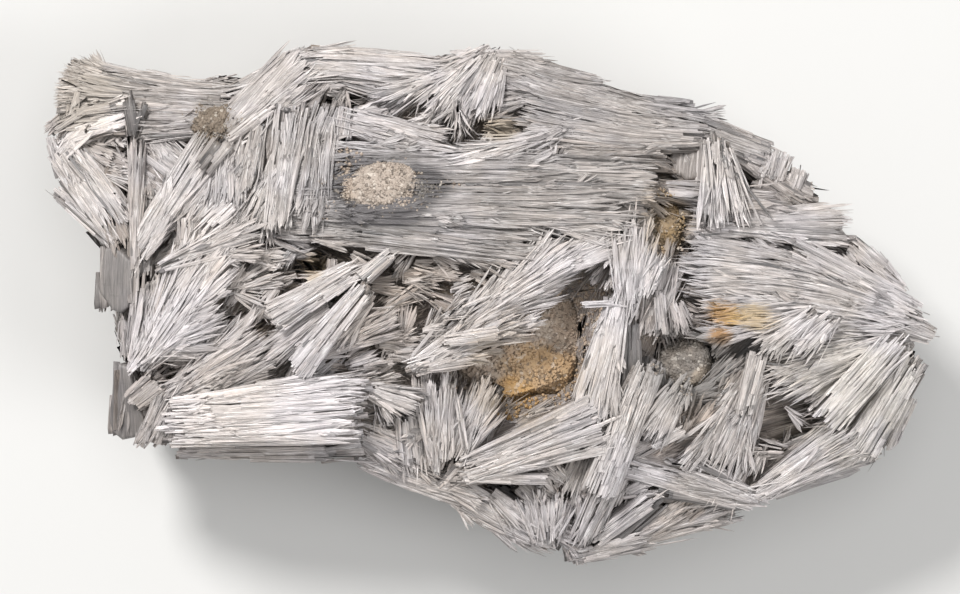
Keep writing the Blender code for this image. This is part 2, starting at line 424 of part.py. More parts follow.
def material(name, colour, rough):
    made = bpy.data.materials.new(name)
    made.use_nodes = True
    shader = made.node_tree.nodes["Principled BSDF"]
    shader.inputs["Base Color"].default_value = (*colour, 1)
    shader.inputs["Roughness"].default_value = rough
    return made


def flank_sheaves(bm, rng):
    """Broken sheaves that follow the rim round, each between every second corner of it."""
    corners = [Vector(corner) for corner in OUTLINE]
    for tier, (low, high, inset, upward) in enumerate(FLANK_TIERS):
        for index in range(tier % 2, len(corners), 2):
            a, b = corners[index], corners[(index + 2) % len(corners)]
            outward = Vector((-(b - a).y, (b - a).x)).normalized()
            away = inset + FLANK_BULGE + rng.uniform(-0.6, 0.6)
            start = Vector((*(a - outward * away), rng.uniform(low, high)))
            stop = Vector((*(b - outward * away), rng.uniform(low, high)))
            add_rim_blade(bm, start, stop, (*outward, upward), rng.uniform(*FLANK_WIDTH), 8, bulge=FLANK_BULGE)


def main():
    for item in list(bpy.data.objects):
        bpy.data.objects.remove(item)
    parts = bpy.data.collections.new(COLLECTION)
    cutters = bpy.data.collections.new("cutters")
    for group in (parts, cutters):
        bpy.context.scene.collection.children.link(group)

    def tool(name, fill, *settings):
        bm = bmesh.new()
        fill(bm, *settings)
        return new_object(name, bm, cutters)

    def hollows(bm):
        for number, (middle, half, depth) in enumerate(HOLLOWS):
            reach = depth - HEART_DEPTH
            lump(bm, middle, (*half, reach), 0, HEART_DEPTH - reach, 1, number)

    def ground(bm):
        bmesh.ops.create_cube(bm, size=400)
        bmesh.ops.translate(bm, verts=bm.verts, vec=(0, 0, -200))

    def blades(bm, grow=0.0):
        rng = random.Random(SEED)
        for sheaf in FACE_SHEAVES:
            add_sheaf(bm, sheaf, rng, grow)

    def outer_blades(bm):
        blades(bm)
        flank_sheaves(bm, random.Random(SEED))
        for a, b, width, tilt in BACK_SHEAVES:
            add_rim_blade(bm, (*a, -0.4), (*b, -0.4), (0, 0, -1), width, 7, math.radians(tilt))

    bm = bmesh.new()
    heart(bm)
    mass = new_object("tremolite_sheaves", bm, parts)
    pocket = MATRIX["dolomite_pocket"]
    apply_boolean(mass, tool("hollow_tool", hollows), "DIFFERENCE", use_self=True)
    apply_boolean(mass, tool("pocket_tool", lump, *pocket, 3, SEED, MATRIX_GAP), "DIFFERENCE")
    apply_boolean(mass, tool("blade_tool", outer_blades), "UNION", use_self=True)
    largest_shell(mass)
    fewer_faces(mass, FACE_SHARE)
    for name, settings in MATRIX.items():
        if name != "dolomite_pocket":
            apply_boolean(mass, tool(name + "_tool", lump, *settings, 2, SEED, MATRIX_GAP), "DIFFERENCE")
    apply_boolean(mass, tool("ground_tool", ground), "DIFFERENCE")
    largest_shell(mass)

    grown = tool("grown_blade_tool", blades, MATRIX_GAP)
    for name, settings in MATRIX.items():
        bm = bmesh.new()
        lump(bm, *settings, 3 if name == "dolomite_pocket" else 2, SEED)
        crust = new_object(name, bm, parts)
        if name == "dolomite_pocket":
            apply_boolean(crust, grown, "DIFFERENCE", use_self=True)
        largest_shell(crust)
        crust.data.materials.clear()
        crust.data.materials.append(material(name.replace("dolomite", "dolomite_rock"), (0.62, 0.55, 0.46), 0.8))
    mass.data.materials.clear()
    mass.data.materials.append(material("tremolite_silky_white", (0.82, 0.8, 0.79), 0.4))

    ends = [[pick(vert.co[axis] for vert in mass.data.vertices) / MM for axis in range(3)] for pick in (min, max)]
    print("low", ends[0], "high", ends[1], "middle", [(low + high) / 2 for low, high in zip(*ends)])


main()
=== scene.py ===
# %% [markdown]
# # A specimen of tremolite
# Tremolite grows as long thin blades, and in this habit hundreds of them lie side by side in a sheaf that spreads from
# its root like a broom. Dozens of such sheaves have grown through one another here, with a little of the brown
# dolomite that they grew in still caught between them. The solid model already has every sheaf as a few flat-sided
# blocks. This lesson dresses each of them with its real blades.

# %% The solid model and the tools
import math
import random
from collections import namedtuple

import bmesh
import bpy
import numpy as np
from mathutils import Matrix, Vector


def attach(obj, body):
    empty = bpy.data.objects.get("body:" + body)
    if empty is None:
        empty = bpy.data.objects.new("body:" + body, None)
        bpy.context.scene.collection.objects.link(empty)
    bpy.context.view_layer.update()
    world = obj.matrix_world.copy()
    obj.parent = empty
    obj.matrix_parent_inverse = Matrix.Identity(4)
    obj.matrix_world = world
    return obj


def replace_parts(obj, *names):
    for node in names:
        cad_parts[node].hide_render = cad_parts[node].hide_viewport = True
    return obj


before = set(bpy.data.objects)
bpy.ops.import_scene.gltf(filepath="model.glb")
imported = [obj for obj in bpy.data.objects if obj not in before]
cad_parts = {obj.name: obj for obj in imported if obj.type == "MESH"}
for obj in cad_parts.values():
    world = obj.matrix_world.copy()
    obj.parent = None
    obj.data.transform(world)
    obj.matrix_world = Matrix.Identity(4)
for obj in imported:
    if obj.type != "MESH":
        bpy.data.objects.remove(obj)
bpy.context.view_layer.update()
MM = 0.001

# %% [markdown]
# ## Camera
# The specimen lies on its broken back and is looked at from straight above. A long lens from almost a metre away keeps
# the edges of a deep object from leaning outwards. The camera's up is the specimen's +Y.

# %% Camera
FRAME_WIDTH = 150.0         # millimetres across the frame at the height of the display face
CAMERA_HEIGHT = 860.0
FACE_HEIGHT = 30.0
camera_data = bpy.data.cameras.new("camera")
camera_data.sensor_width = 36
camera_data.lens = 36 * (CAMERA_HEIGHT - FACE_HEIGHT) / FRAME_WIDTH
camera_data.clip_start, camera_data.clip_end = 0.01, 10
camera = bpy.data.objects.new("camera", camera_data)
camera.location = Vector((-1.9, 1.2, CAMERA_HEIGHT)) * MM
bpy.context.scene.collection.objects.link(camera)
bpy.context.scene.camera = camera
print("lens", round(camera_data.lens), "mm")

# %% [markdown]
# ## Floor and light
# Blades show by their edges, so the main light is low and comes from the upper left, where each blade throws a thin
# shadow on the next one. Two broad weak lights keep the gaps between the sheaves open. The floor is plain and pale.

# %% Floor and light
def plain_floor():
    bm = bmesh.new()
    bmesh.ops.create_grid(bm, x_segments=1, y_segments=1, size=1.5)
    mesh = bpy.data.meshes.new("floor")
    bm.to_mesh(mesh)
    bm.free()
    floor = bpy.data.objects.new("floor", mesh)
    paint = bpy.data.materials.new("pale_floor")
    paint.use_nodes = True
    shader = paint.node_tree.nodes["Principled BSDF"]
    shader.inputs["Base Color"].default_value = (0.60, 0.60, 0.59, 1)
    shader.inputs["Roughness"].default_value = 0.85
    mesh.materials.append(paint)
    bpy.context.scene.collection.objects.link(floor)


def area_light(name, place, size, power, colour=(1, 1, 1)):
    data = bpy.data.lights.new(name, "AREA")
    data.shape, data.size, data.energy, data.color = "DISK", size, power, colour
    lamp = bpy.data.objects.new(name, data)
    lamp.location = place
    lamp.rotation_euler = Vector(place).to_track_quat("Z", "Y").to_euler()
    bpy.context.scene.collection.objects.link(lamp)


plain_floor()
area_light("main_light", (-0.32, 0.42, 0.60), 0.2, 6.6, (1, 0.985, 0.97))
area_light("broad_fill", (0.55, -0.28, 0.55), 0.5, 3.4)
area_light("top_fill", (0.05, 0.15, 1.1), 0.6, 2.4)
world = bpy.data.worlds.new("studio")
world.use_nodes = True
world.node_tree.nodes["Background"].inputs["Color"].default_value = (0.80, 0.79, 0.79, 1)
world.node_tree.nodes["Background"].inputs["Strength"].default_value = 0.43
bpy.context.scene.world = world
bpy.context.scene.view_settings.view_transform = "Standard"
print("lights", [o.name for o in bpy.data.objects if o.type == "LIGHT"])

# %% [markdown]
# ## Writing shader maths as plain expressions
# A finish is easier to read as `white * (1 - grime)` than as a list of nodes and links. This small class wraps one
# output socket. Each operator adds the Math node it stands for, and `node` adds any other kind.

# %% Shader expressions
class Wire:
    def __init__(self, tree, socket):
        self.tree, self.socket = tree, socket

    def node(self, kind, settings=(), **sockets):
        """Add a node. A socket is given by its name, or as i and its number where several share a name."""
        made = self.tree.nodes.new(kind)
        for key, value in dict(settings).items():
            setattr(made, key, value)
        for key, value in sockets.items():
            numbered = key[0] == "i" and key[1:].isdigit()
            socket = made.inputs[int(key[1:]) if numbered else key]
            if isinstance(value, Wire):
                self.tree.links.new(value.socket, socket)
            else:
                socket.default_value = value
        return made

    def out(self, kind, output, settings=(), **sockets):
        return Wire(self.tree, self.node(kind, settings, **sockets).outputs[output])

    def maths(self, operation, a, b):
        return self.out("ShaderNodeMath", 0, {"operation": operation}, i0=a, i1=b)

    def __add__(self, other):
        return self.maths("ADD", self, other)

    def __radd__(self, other):
        return self.maths("ADD", other, self)

    def __sub__(self, other):
        return self.maths("SUBTRACT", self, other)

    def __rsub__(self, other):
        return self.maths("SUBTRACT", other, self)

    def __mul__(self, other):
        return self.maths("MULTIPLY", self, other)

    def __rmul__(self, other):
        return self.maths("MULTIPLY", other, self)

    def step(self, low, high):
        """0 below low, 1 above high, smooth between."""
        return self.out("ShaderNodeMapRange", 0, {"interpolation_type": "SMOOTHSTEP"}, Value=self, i1=low, i2=high)

    def mix(self, first, second, blend="MIX"):
        """The first colour where this is 0, the second where it is 1."""
        pair = [c if isinstance(c, Wire) else (*c, 1) for c in (first, second)]
        settings = {"data_type": "RGBA", "blend_type": blend}
        return self.out("ShaderNodeMix", 2, settings, i0=self, i6=pair[0], i7=pair[1])

    def scaled(self, factors):
        """This vector with each of its axes multiplied by a number."""
        return self.out("ShaderNodeVectorMath", 0, {"operation": "MULTIPLY"}, i0=self, i1=factors)

    def noise(self, scale, detail=2.0, rough=0.5):
        """A noise read at this vector."""
        return self.out("ShaderNodeTexNoise", 0, {}, Vector=self, Scale=scale, Detail=detail, Roughness=rough)


def new_finish(name):
    """A material, its node tree, its shader, a wire to start from and one that carries Object coordinates."""
    made = bpy.data.materials.new(name)
    made.use_nodes = True
    tree = made.node_tree
    shader = tree.nodes["Principled BSDF"]
    start = Wire(tree, None)
    place = start.out("ShaderNodeTexCoord", "Object")
    return made, tree, shader, start, place


def connect(name, tree, shader, colour, rough, height, depth):
    """Plug a colour, a roughness and a bump as deep as depth, in metres, into the shader."""
    bump = colour.node("ShaderNodeBump", {}, Strength=0.9, Distance=depth, Height=height)
    for socket, plug in ((colour.socket, "Base Color"), (rough.socket, "Roughness"), (bump.outputs[0], "Normal")):
        tree.links.new(socket, shader.inputs[plug])
    print("finish", name, len(tree.nodes), "nodes")


print("shader expressions ready")

# %% [markdown]
# ## The finish of the blades
# Each blade is clear to milky and full of fine lengthwise cleavage lines, so a sheaf looks like satin: bright where
# the faces meet the light and grey between. The lines have to run along each blade whatever its direction, so they
# read a blade map: its first axis runs across the blade and its second along it, both in millimetres. A tint stored
# on each blade says how bright, how glassy and how stained it is.

# %% Finish of the tremolite
WARM_WHITE, LILAC_WHITE = (0.84, 0.765, 0.72), (0.85, 0.80, 0.815)
PAINTED_GLINT_WHITE, CLEAR_GREY, TEA = (0.96, 0.94, 0.93), (0.080, 0.078, 0.080), (0.76, 0.60, 0.44)
IN_PLAN = (1, 1, 0)
# stains and dark rings: middle and half axes in plan in millimetres, colour, strength
SPOTS = [
    ((36.2, -1.5), (3.6, 2.5), (0.50, 0.26, 0.05), 0.95), ((35.3, -4.6), (2.6, 1.7), (0.46, 0.22, 0.04), 0.9),
    ((39.6, -1.8), (4.2, 2.4), (0.54, 0.37, 0.14), 0.7), ((27.6, 12.5), (4.5, 6.0), (0.36, 0.26, 0.15), 0.6),
    ((-17.4, 18), (11.0, 6.8), (0.15, 0.145, 0.145), 0.95),
    ((-23.4, 19), (3.6, 5.4), (0.075, 0.069, 0.072), 1.0), ((-10.4, 18.6), (3.6, 4.2), (0.08, 0.074, 0.077), 1.0),
    ((-17.5, 14.2), (6.4, 2.0), (0.10, 0.092, 0.096), 1.0), ((-20.5, 22.2), (4.2, 1.8), (0.11, 0.102, 0.106), 0.9),
    ((-66.5, 34), (7.0, 6.5), (0.50, 0.44, 0.36), 0.45), ((58, -14), (12.0, 11.0), (0.70, 0.65, 0.56), 0.4),
    ((-44, 28.3), (4.5, 4.0), (0.22, 0.19, 0.16), 0.7),
    ((30.5, -9.0), (7.0, 6.0), (0.17, 0.16, 0.15), 0.75), ((1.0, 27.6), (3.6, 1.8), (0.42, 0.33, 0.20), 0.5),
    ((-28.3, 6), (2.4, 2.0), (0.50, 0.36, 0.18), 0.6), ((5, -10), (10.0, 9.0), (0.40, 0.31, 0.21), 0.5),
]
SPOTS_FROM, SPOTS_FULL = 14, 22             # spots fade in between these heights, in millimetres


def tremolite_finish(name, grooves):
    """Satin with cleavage lines along each blade, which are pressed in as deep as grooves says, in metres."""
    made, tree, shader, start, place = new_finish(name)
    blade = start.out("ShaderNodeUVMap", "UV", {"uv_map": "blade_map"})
    tint = start.out("ShaderNodeAttribute", "Color", {"attribute_name": "tint"})
    parts = start.node("ShaderNodeSeparateColor", {}, Color=tint)
    tone, glass, stain = (Wire(tree, parts.outputs[index]) for index in range(3))
    # lines along the blade, fine and broad, painted highlights as near-white glints where single cleavage faces would
    # catch the light, and partings across it
    stretched = blade.scaled((1, 0.035, 1))
    fine = stretched.noise(4.6, 4.0, 0.65).step(0.34, 0.66)
    broad = stretched.noise(1.4).step(0.32, 0.68)
    painted_glint = stretched.noise(9.0).step(0.57, 0.64) * (0.3 + tone * 0.7) * (1 - glass)
    parting = blade.scaled((0.35, 1, 1)).noise(1.1, 2.0, 0.6).step(0.60, 0.68)
    patch = place.noise(70.0, 3.0, 0.6).step(0.38, 0.66)
    # bright sheaves show their lines less than dull ones
    softer = 1.15 - tone * 0.6
    lit = (tone * 0.70 + 0.37) * (1 - (1 - fine) * softer * 0.68)
    lit = lit * (1 - (1 - broad) * softer * 0.24) * (1 - parting * 0.08)
    grey = start.out("ShaderNodeCombineColor", 0, {}, Red=lit, Green=lit, Blue=lit)
    white = patch.mix(WARM_WHITE, LILAC_WHITE)
    shaded = start.out("ShaderNodeMix", 2, {"data_type": "RGBA", "blend_type": "MULTIPLY"}, i0=1.0, i6=white, i7=grey)
    # painted highlight: the glint streaks turn the base colour nearly white
    shaded = (painted_glint * 0.75).mix(shaded, PAINTED_GLINT_WHITE)
    colour = (glass * (0.7 + 0.3 * broad)).mix(shaded, CLEAR_GREY)
    colour = stain.mix(colour, TEA, "MULTIPLY")
    flat = place.scaled(IN_PLAN)
    heights = start.node("ShaderNodeSeparateXYZ", {}, Vector=place)
    shown = Wire(tree, heights.outputs[2]).step(SPOTS_FROM * MM, SPOTS_FULL * MM) * (0.65 + 0.35 * fine)
    for (x, y), (wide, high), spot, strength in SPOTS:
        middle = (x * MM, y * MM, 0)
        centred = start.out("ShaderNodeVectorMath", 0, {"operation": "SUBTRACT"}, i0=flat, i1=middle)
        round_spot = centred.scaled((1 / (wide * MM), 1 / (high * MM), 0))
        away = start.out("ShaderNodeVectorMath", 1, {"operation": "LENGTH"}, i0=round_spot) + (patch - fine) * 0.5
        colour = ((1 - away.step(0.45, 1.15)) * shown * strength).mix(colour, spot)
    sparkle = glass.step(0.11, 0.12) * (1 - glass.step(0.15, 0.2))
    rough = 0.50 - glass * 0.2 - sparkle * 0.18 - tone.step(0.6, 1.0) * 0.12 + (1 - fine) * 0.12 - painted_glint * 0.15
    shader.inputs["Specular IOR Level"].default_value = 0.6
    shader.inputs["IOR"].default_value = 1.61
    connect(name, tree, shader, colour, rough, fine * 0.6 + broad * 0.3 + parting * 0.1, grooves)
    return made


silky = tremolite_finish("silky_tremolite", 0.00014)
massive = tremolite_finish("massive_tremolite", 0.0003)

# %% [markdown]
# ## One blade, made once
# A blade is a thin prism with a slanting or pointed end. It starts as a cone without taper, with three or four sides,
# is laid along X, and is cut across with `bisect_plane` where it has to narrow or bend. Then its end is narrowed.
# Thousands of copies are needed, so only one of each kind is modelled, with a dozen faces or fewer than thirty at most,
# and arithmetic on whole arrays places the copies.

# %% Blade templates
Template = namedtuple("Template", "points faces")


def blade_template(tip, slant=0.0, cuts=(), root=0.8, sides=3, keel=False):
    """Points and faces of one blade that runs from x = 0 to x = 1, one unit wide and one unit thick."""
    bm = bmesh.new()
    bmesh.ops.create_cone(bm, cap_ends=True, cap_tris=False, segments=sides, radius1=1, radius2=1, depth=1)
    if sides == 4:
        bmesh.ops.rotate(bm, verts=bm.verts, matrix=Matrix.Rotation(math.pi / 4, 3, "Z"))
    bmesh.ops.rotate(bm, verts=bm.verts, matrix=Matrix.Rotation(math.pi / 2, 3, "Y"))
    bmesh.ops.rotate(bm, verts=bm.verts, matrix=Matrix.Rotation(math.pi / 2 if sides == 3 else 0, 3, "X"))
    low = Vector([min(v.co[i] for v in bm.verts) for i in range(3)])
    high = Vector([max(v.co[i] for v in bm.verts) for i in range(3)])
    bmesh.ops.translate(bm, verts=bm.verts, vec=(-low.x, -(low.y + high.y) / 2, -(low.z + high.z) / 2))
    bmesh.ops.scale(bm, verts=bm.verts, vec=(1, 1 / (high.y - low.y), 1 / (high.z - low.z)))
    apex = max(bm.verts, key=lambda v: abs(v.co.z)).co.z
    if sides == 3 and (apex < 0) != keel:
        bmesh.ops.rotate(bm, verts=bm.verts, matrix=Matrix.Rotation(math.pi, 3, "X"))
    for place in cuts:
        everything = bm.verts[:] + bm.edges[:] + bm.faces[:]
        bmesh.ops.bisect_plane(bm, geom=everything, plane_co=(place, 0, 0), plane_no=(1, 0, 0))
    end = [v for v in bm.verts if v.co.x > 0.99]
    bmesh.ops.scale(bm, verts=end, vec=(1, tip[0], tip[1]))
    for vert in end:
        vert.co.x -= slant * (0.5 + vert.co.y / max(tip[0], 0.1))
    bmesh.ops.scale(bm, verts=[v for v in bm.verts if v.co.x < 0.01], vec=(1, root, root))
    bmesh.ops.remove_doubles(bm, verts=bm.verts, dist=1e-4)
    bmesh.ops.recalc_face_normals(bm, faces=bm.faces)
    bm.verts.index_update()
    made = Template(np.array([v.co[:] for v in bm.verts]), [[v.index for v in f.verts] for f in bm.faces])
    bm.free()
    return made


LATH = blade_template((0.9, 0.8), 0.02, keel=True)                    # flat face up, broken straight across
SPLINTER = blade_template((0.12, 0.0), 0.02, cuts=(0.72,))            # a ridge on top, narrowed to a chisel edge
REED = blade_template((0.2, 0.0), 0.01, cuts=(0.35, 0.85))            # the same, for long blades that follow the dome
SHARD = blade_template((0.15, 0.3), 0.1)                              # as plain as a blade can be, for hidden places
NEEDLE = blade_template((0.0, 0.0), cuts=(0.5,), root=0.5)
PRISM = blade_template((0.85, 0.8), 0.04, cuts=(0.85,), sides=4)      # a thick block with a worn end


def triangles_of(template):
    return sum(len(face) - 2 for face in template.faces)


print("triangles a blade:", [triangles_of(template) for template in (LATH, SPLINTER, REED, SHARD, NEEDLE, PRISM)])

# %% [markdown]
# ## The face of the specimen
# The display face is a low dome. Every sheaf is drawn in plan, from its root to its tip, and lies on that dome. Its
# lift says how far it stands above or below the dome, so the same few numbers that shape the solids place the blades.

# %% The dome of the display face
CREST, FALL_X, FALL_Y = 36.0, 9.0, 10.0
HALF_LENGTH, HALF_WIDTH = 70.0, 41.3


def unit(vectors):
    return vectors / np.maximum(np.linalg.norm(vectors, axis=-1, keepdims=True), 1e-9)


def blend(ends, share):
    """What lies between two ends, at some share of the way from the first to the second."""
    return ends[0] + (ends[1] - ends[0]) * share


def crest(flat):
    """Height of the dome above a place in plan, in millimetres."""
    return CREST - FALL_X * (flat[..., 0] / HALF_LENGTH) ** 2 - FALL_Y * (flat[..., 1] / HALF_WIDTH) ** 2


def crest_normal(flat):
    slope_x = 2 * FALL_X * flat[..., 0] / HALF_LENGTH ** 2
    slope_y = 2 * FALL_Y * flat[..., 1] / HALF_WIDTH ** 2
    return unit(np.stack([slope_x, slope_y, np.ones_like(slope_x)], -1))


print("dome from", CREST, "mm in the middle to", round(CREST - FALL_X, 1), "mm at the ends")

# %% [markdown]
# ## Habits
# The blades of one specimen don't all grow alike. Some sheaves have broken square into slabs of flush laths, some
# spread and end in points, some are sprays of loose needles, and a few blades are single clear grey prisms. A habit
# holds the numbers of one way of growing, so a sheaf only has to name it.

# %% Habits of growth
# width, longest, ragged (ends), loose (depth of the layer) and bury (of the root) are in millimetres, thin is a share
# of the width, length a share of the sheaf, splay to roll are degrees, cover says how often the face is covered
Habit = namedtuple("Habit", "template width thin longest length ragged loose bury splay pitch yaw roll cover")
SLAB = Habit(LATH, 0.46, (0.10, 0.22), 30, (0.35, 0.95), 0.9, 0.20, 0.2, 0, 0.3, 0.5, 4, 4.0)
SHEAF = Habit(SPLINTER, 0.34, (0.08, 0.20), 19, (0.25, 0.90), 2.2, 0.20, 0.3, 3, 0.8, 1.7, 5, 4.3)
FAN = Habit(SPLINTER, 0.36, (0.12, 0.26), 11, (0.25, 0.85), 2.2, 0.38, 0.4, 11, 2.0, 3.0, 8, 4.6)
SILK = Habit(REED, 0.40, (0.06, 0.14), 34, (0.25, 0.95), 1.8, 0.14, 0.3, 2, 0.4, 1.3, 4, 4.2)
BAND = SILK._replace(ragged=6.0, longest=26)
SPRAY = Habit(NEEDLE, 0.34, (0.4, 0.7), 5, (0.40, 0.90), 1.2, 1.0, 0.5, 24, 7.0, 8.0, 40, 2.6)
PADDLE = Habit(LATH, 0.36, (0.15, 0.35), 9, (0.30, 0.95), 0.9, 0.16, 0.4, 2, 0.5, 1.2, 5, 5.0)
GLASS = Habit(PRISM, 1.40, (0.2, 0.35), 26, (0.60, 1.00), 0.4, 0.12, 0.0, 0, 0.3, 0.3, 3, 3.0)
TUFT = Habit(NEEDLE, 0.24, (0.4, 0.7), 5, (0.25, 0.70), 0.8, 0.7, 0.0, 9, 2.5, 3.0, 30, 5.4)
ROUGH = Habit(LATH, 0.80, (0.2, 0.45), 20, (0.25, 0.80), 2.2, 0.6, 0.2, 2, 1.0, 1.6, 8, 3.8)

FRAYED = (SHEAF, FAN, SILK, BAND)           # habits whose sheaves throw small side sheaves

# bare places: middle and half axes in plan in millimetres
CRUSTS = [((-17.4, 18), (5.7, 3.1)), ((30.6, -8.9), (4.6, 3.5)), ((-43.8, 28.4), (2.4, 1.7)),
          ((27.3, 12.4), (1.2, 2.6))]
POCKET = [((9, -8), (8.5, 8.0)), ((13.5, 2), (4.5, 5.5)), ((4, -14), (3.5, 4.5)), ((-3, -10.5), (5, 2.5))]
HOLES = [((47.3, -18.8), (4.9, 4.5)), ((39.8, -8.2), (3.2, 2.6)), ((-21.5, 33.6), (4.0, 1.8)),
         ((2.2, -29.4), (2.6, 1.3)), ((-52, 15.6), (1.3, 2.4)), ((-57.4, 7.2), (1.2, 0.9)), ((39.6, 19.5), (1.6, 2.6)),
         ((-36.5, -3), (2.4, 1.8)), ((-28.5, 6), (2.0, 1.2)), ((-60.5, 25.2), (2.4, 0.7))]
BARE = CRUSTS + POCKET + HOLES
HOLE_DEPTH = 7
WORN = [((-29.5, 17), (6, 9), 2.0)]         # and how far the mass is worn down there
FLANK_TOP = 14                              # lower than this, nothing of the display face shows

# root and tip in plan, then the width at each end, the depth, the lift at each end and the bow, all in millimetres
Sheaf = namedtuple("Sheaf", "name root tip width depth lift bow habit tone glass stain")


def reach(places, spot):
    """How far out of a spot each place lies in plan, squared: less than 1 is within it."""
    middle, axes = spot
    return (((places[:, :2] - middle) / axes) ** 2).sum(1)


def in_spots(places, spots, limit=1.0):
    return np.any([reach(places, spot) < limit for spot in spots], axis=0)


print(len(BARE), "bare places,", len(FRAYED), "frayed habits")

# %% [markdown]
# ## Guides
# A sheaf is a guide for its blades. It gives the middle of its face, the direction across it and the direction out of
# it at any share of its length. Since the whole fan widens from its root, blades at its edges splay by themselves.

# %% Guides
def plan_guide(sheaf):
    """The guide of a sheaf that lies on the dome."""
    root, tip = np.array(sheaf.root, float), np.array(sheaf.tip, float)
    run = tip - root
    side = np.array([-run[1], run[0]]) / np.hypot(*run)

    def guide(u, sideways):
        half = blend(sheaf.width, u) / 2
        flat = root + run * u[:, None] + side * (sheaf.bow * 4 * u * (1 - u) + half * sideways)[:, None]
        out = crest_normal(flat)
        middle = np.concatenate([flat, (crest(flat) + blend(sheaf.lift, u))[:, None]], 1)
        along = np.array([run[0], run[1], 0.0])
        across = unit(np.cross(out, along))
        return middle, across, out

    return guide, float(np.hypot(*run)), (sheaf.width[0] + sheaf.width[1]) / 2


def rim_guide(start, stop, outward, width, bulge):
    """The guide of a sheaf on the flank or the back, whose face looks along outward."""
    start, stop = np.array(start, float), np.array(stop, float)
    along = unit(stop - start)
    across = unit(np.cross(np.array(outward, float), along))
    face = np.cross(along, across)

    def guide(u, sideways):
        middle = start + (stop - start) * u[:, None] + face * (bulge * 4 * u * (1 - u))[:, None]
        middle = middle + across * (width / 2 * sideways)[:, None]
        many = np.ones((len(u), 1))
        return middle, across * many, face * many

    return guide, float(np.linalg.norm(stop - start)), width


print("guides ready: on the dome, and on the rim")

# %% [markdown]
# ## Growing a crop along a guide
# Each blade gets a start and an end along the sheaf, a place across its face or down one of its sides, and a small
# turn of its own. All blades of a crop are copies of one template, so its points are moved in a few array steps.

# %% A crop of blades
Crop = namedtuple("Crop", "template points tint map soft")

ROUNDING, TWIST = 1.2, 0.30                 # how round a blade is shaded, and how far that shading is turned
STRAYS, STRAY_TIMES = 0.10, 2.8             # the share of blades that stray, and how much further they turn
MAX_TURN, MAX_PITCH = 35, 22                # degrees


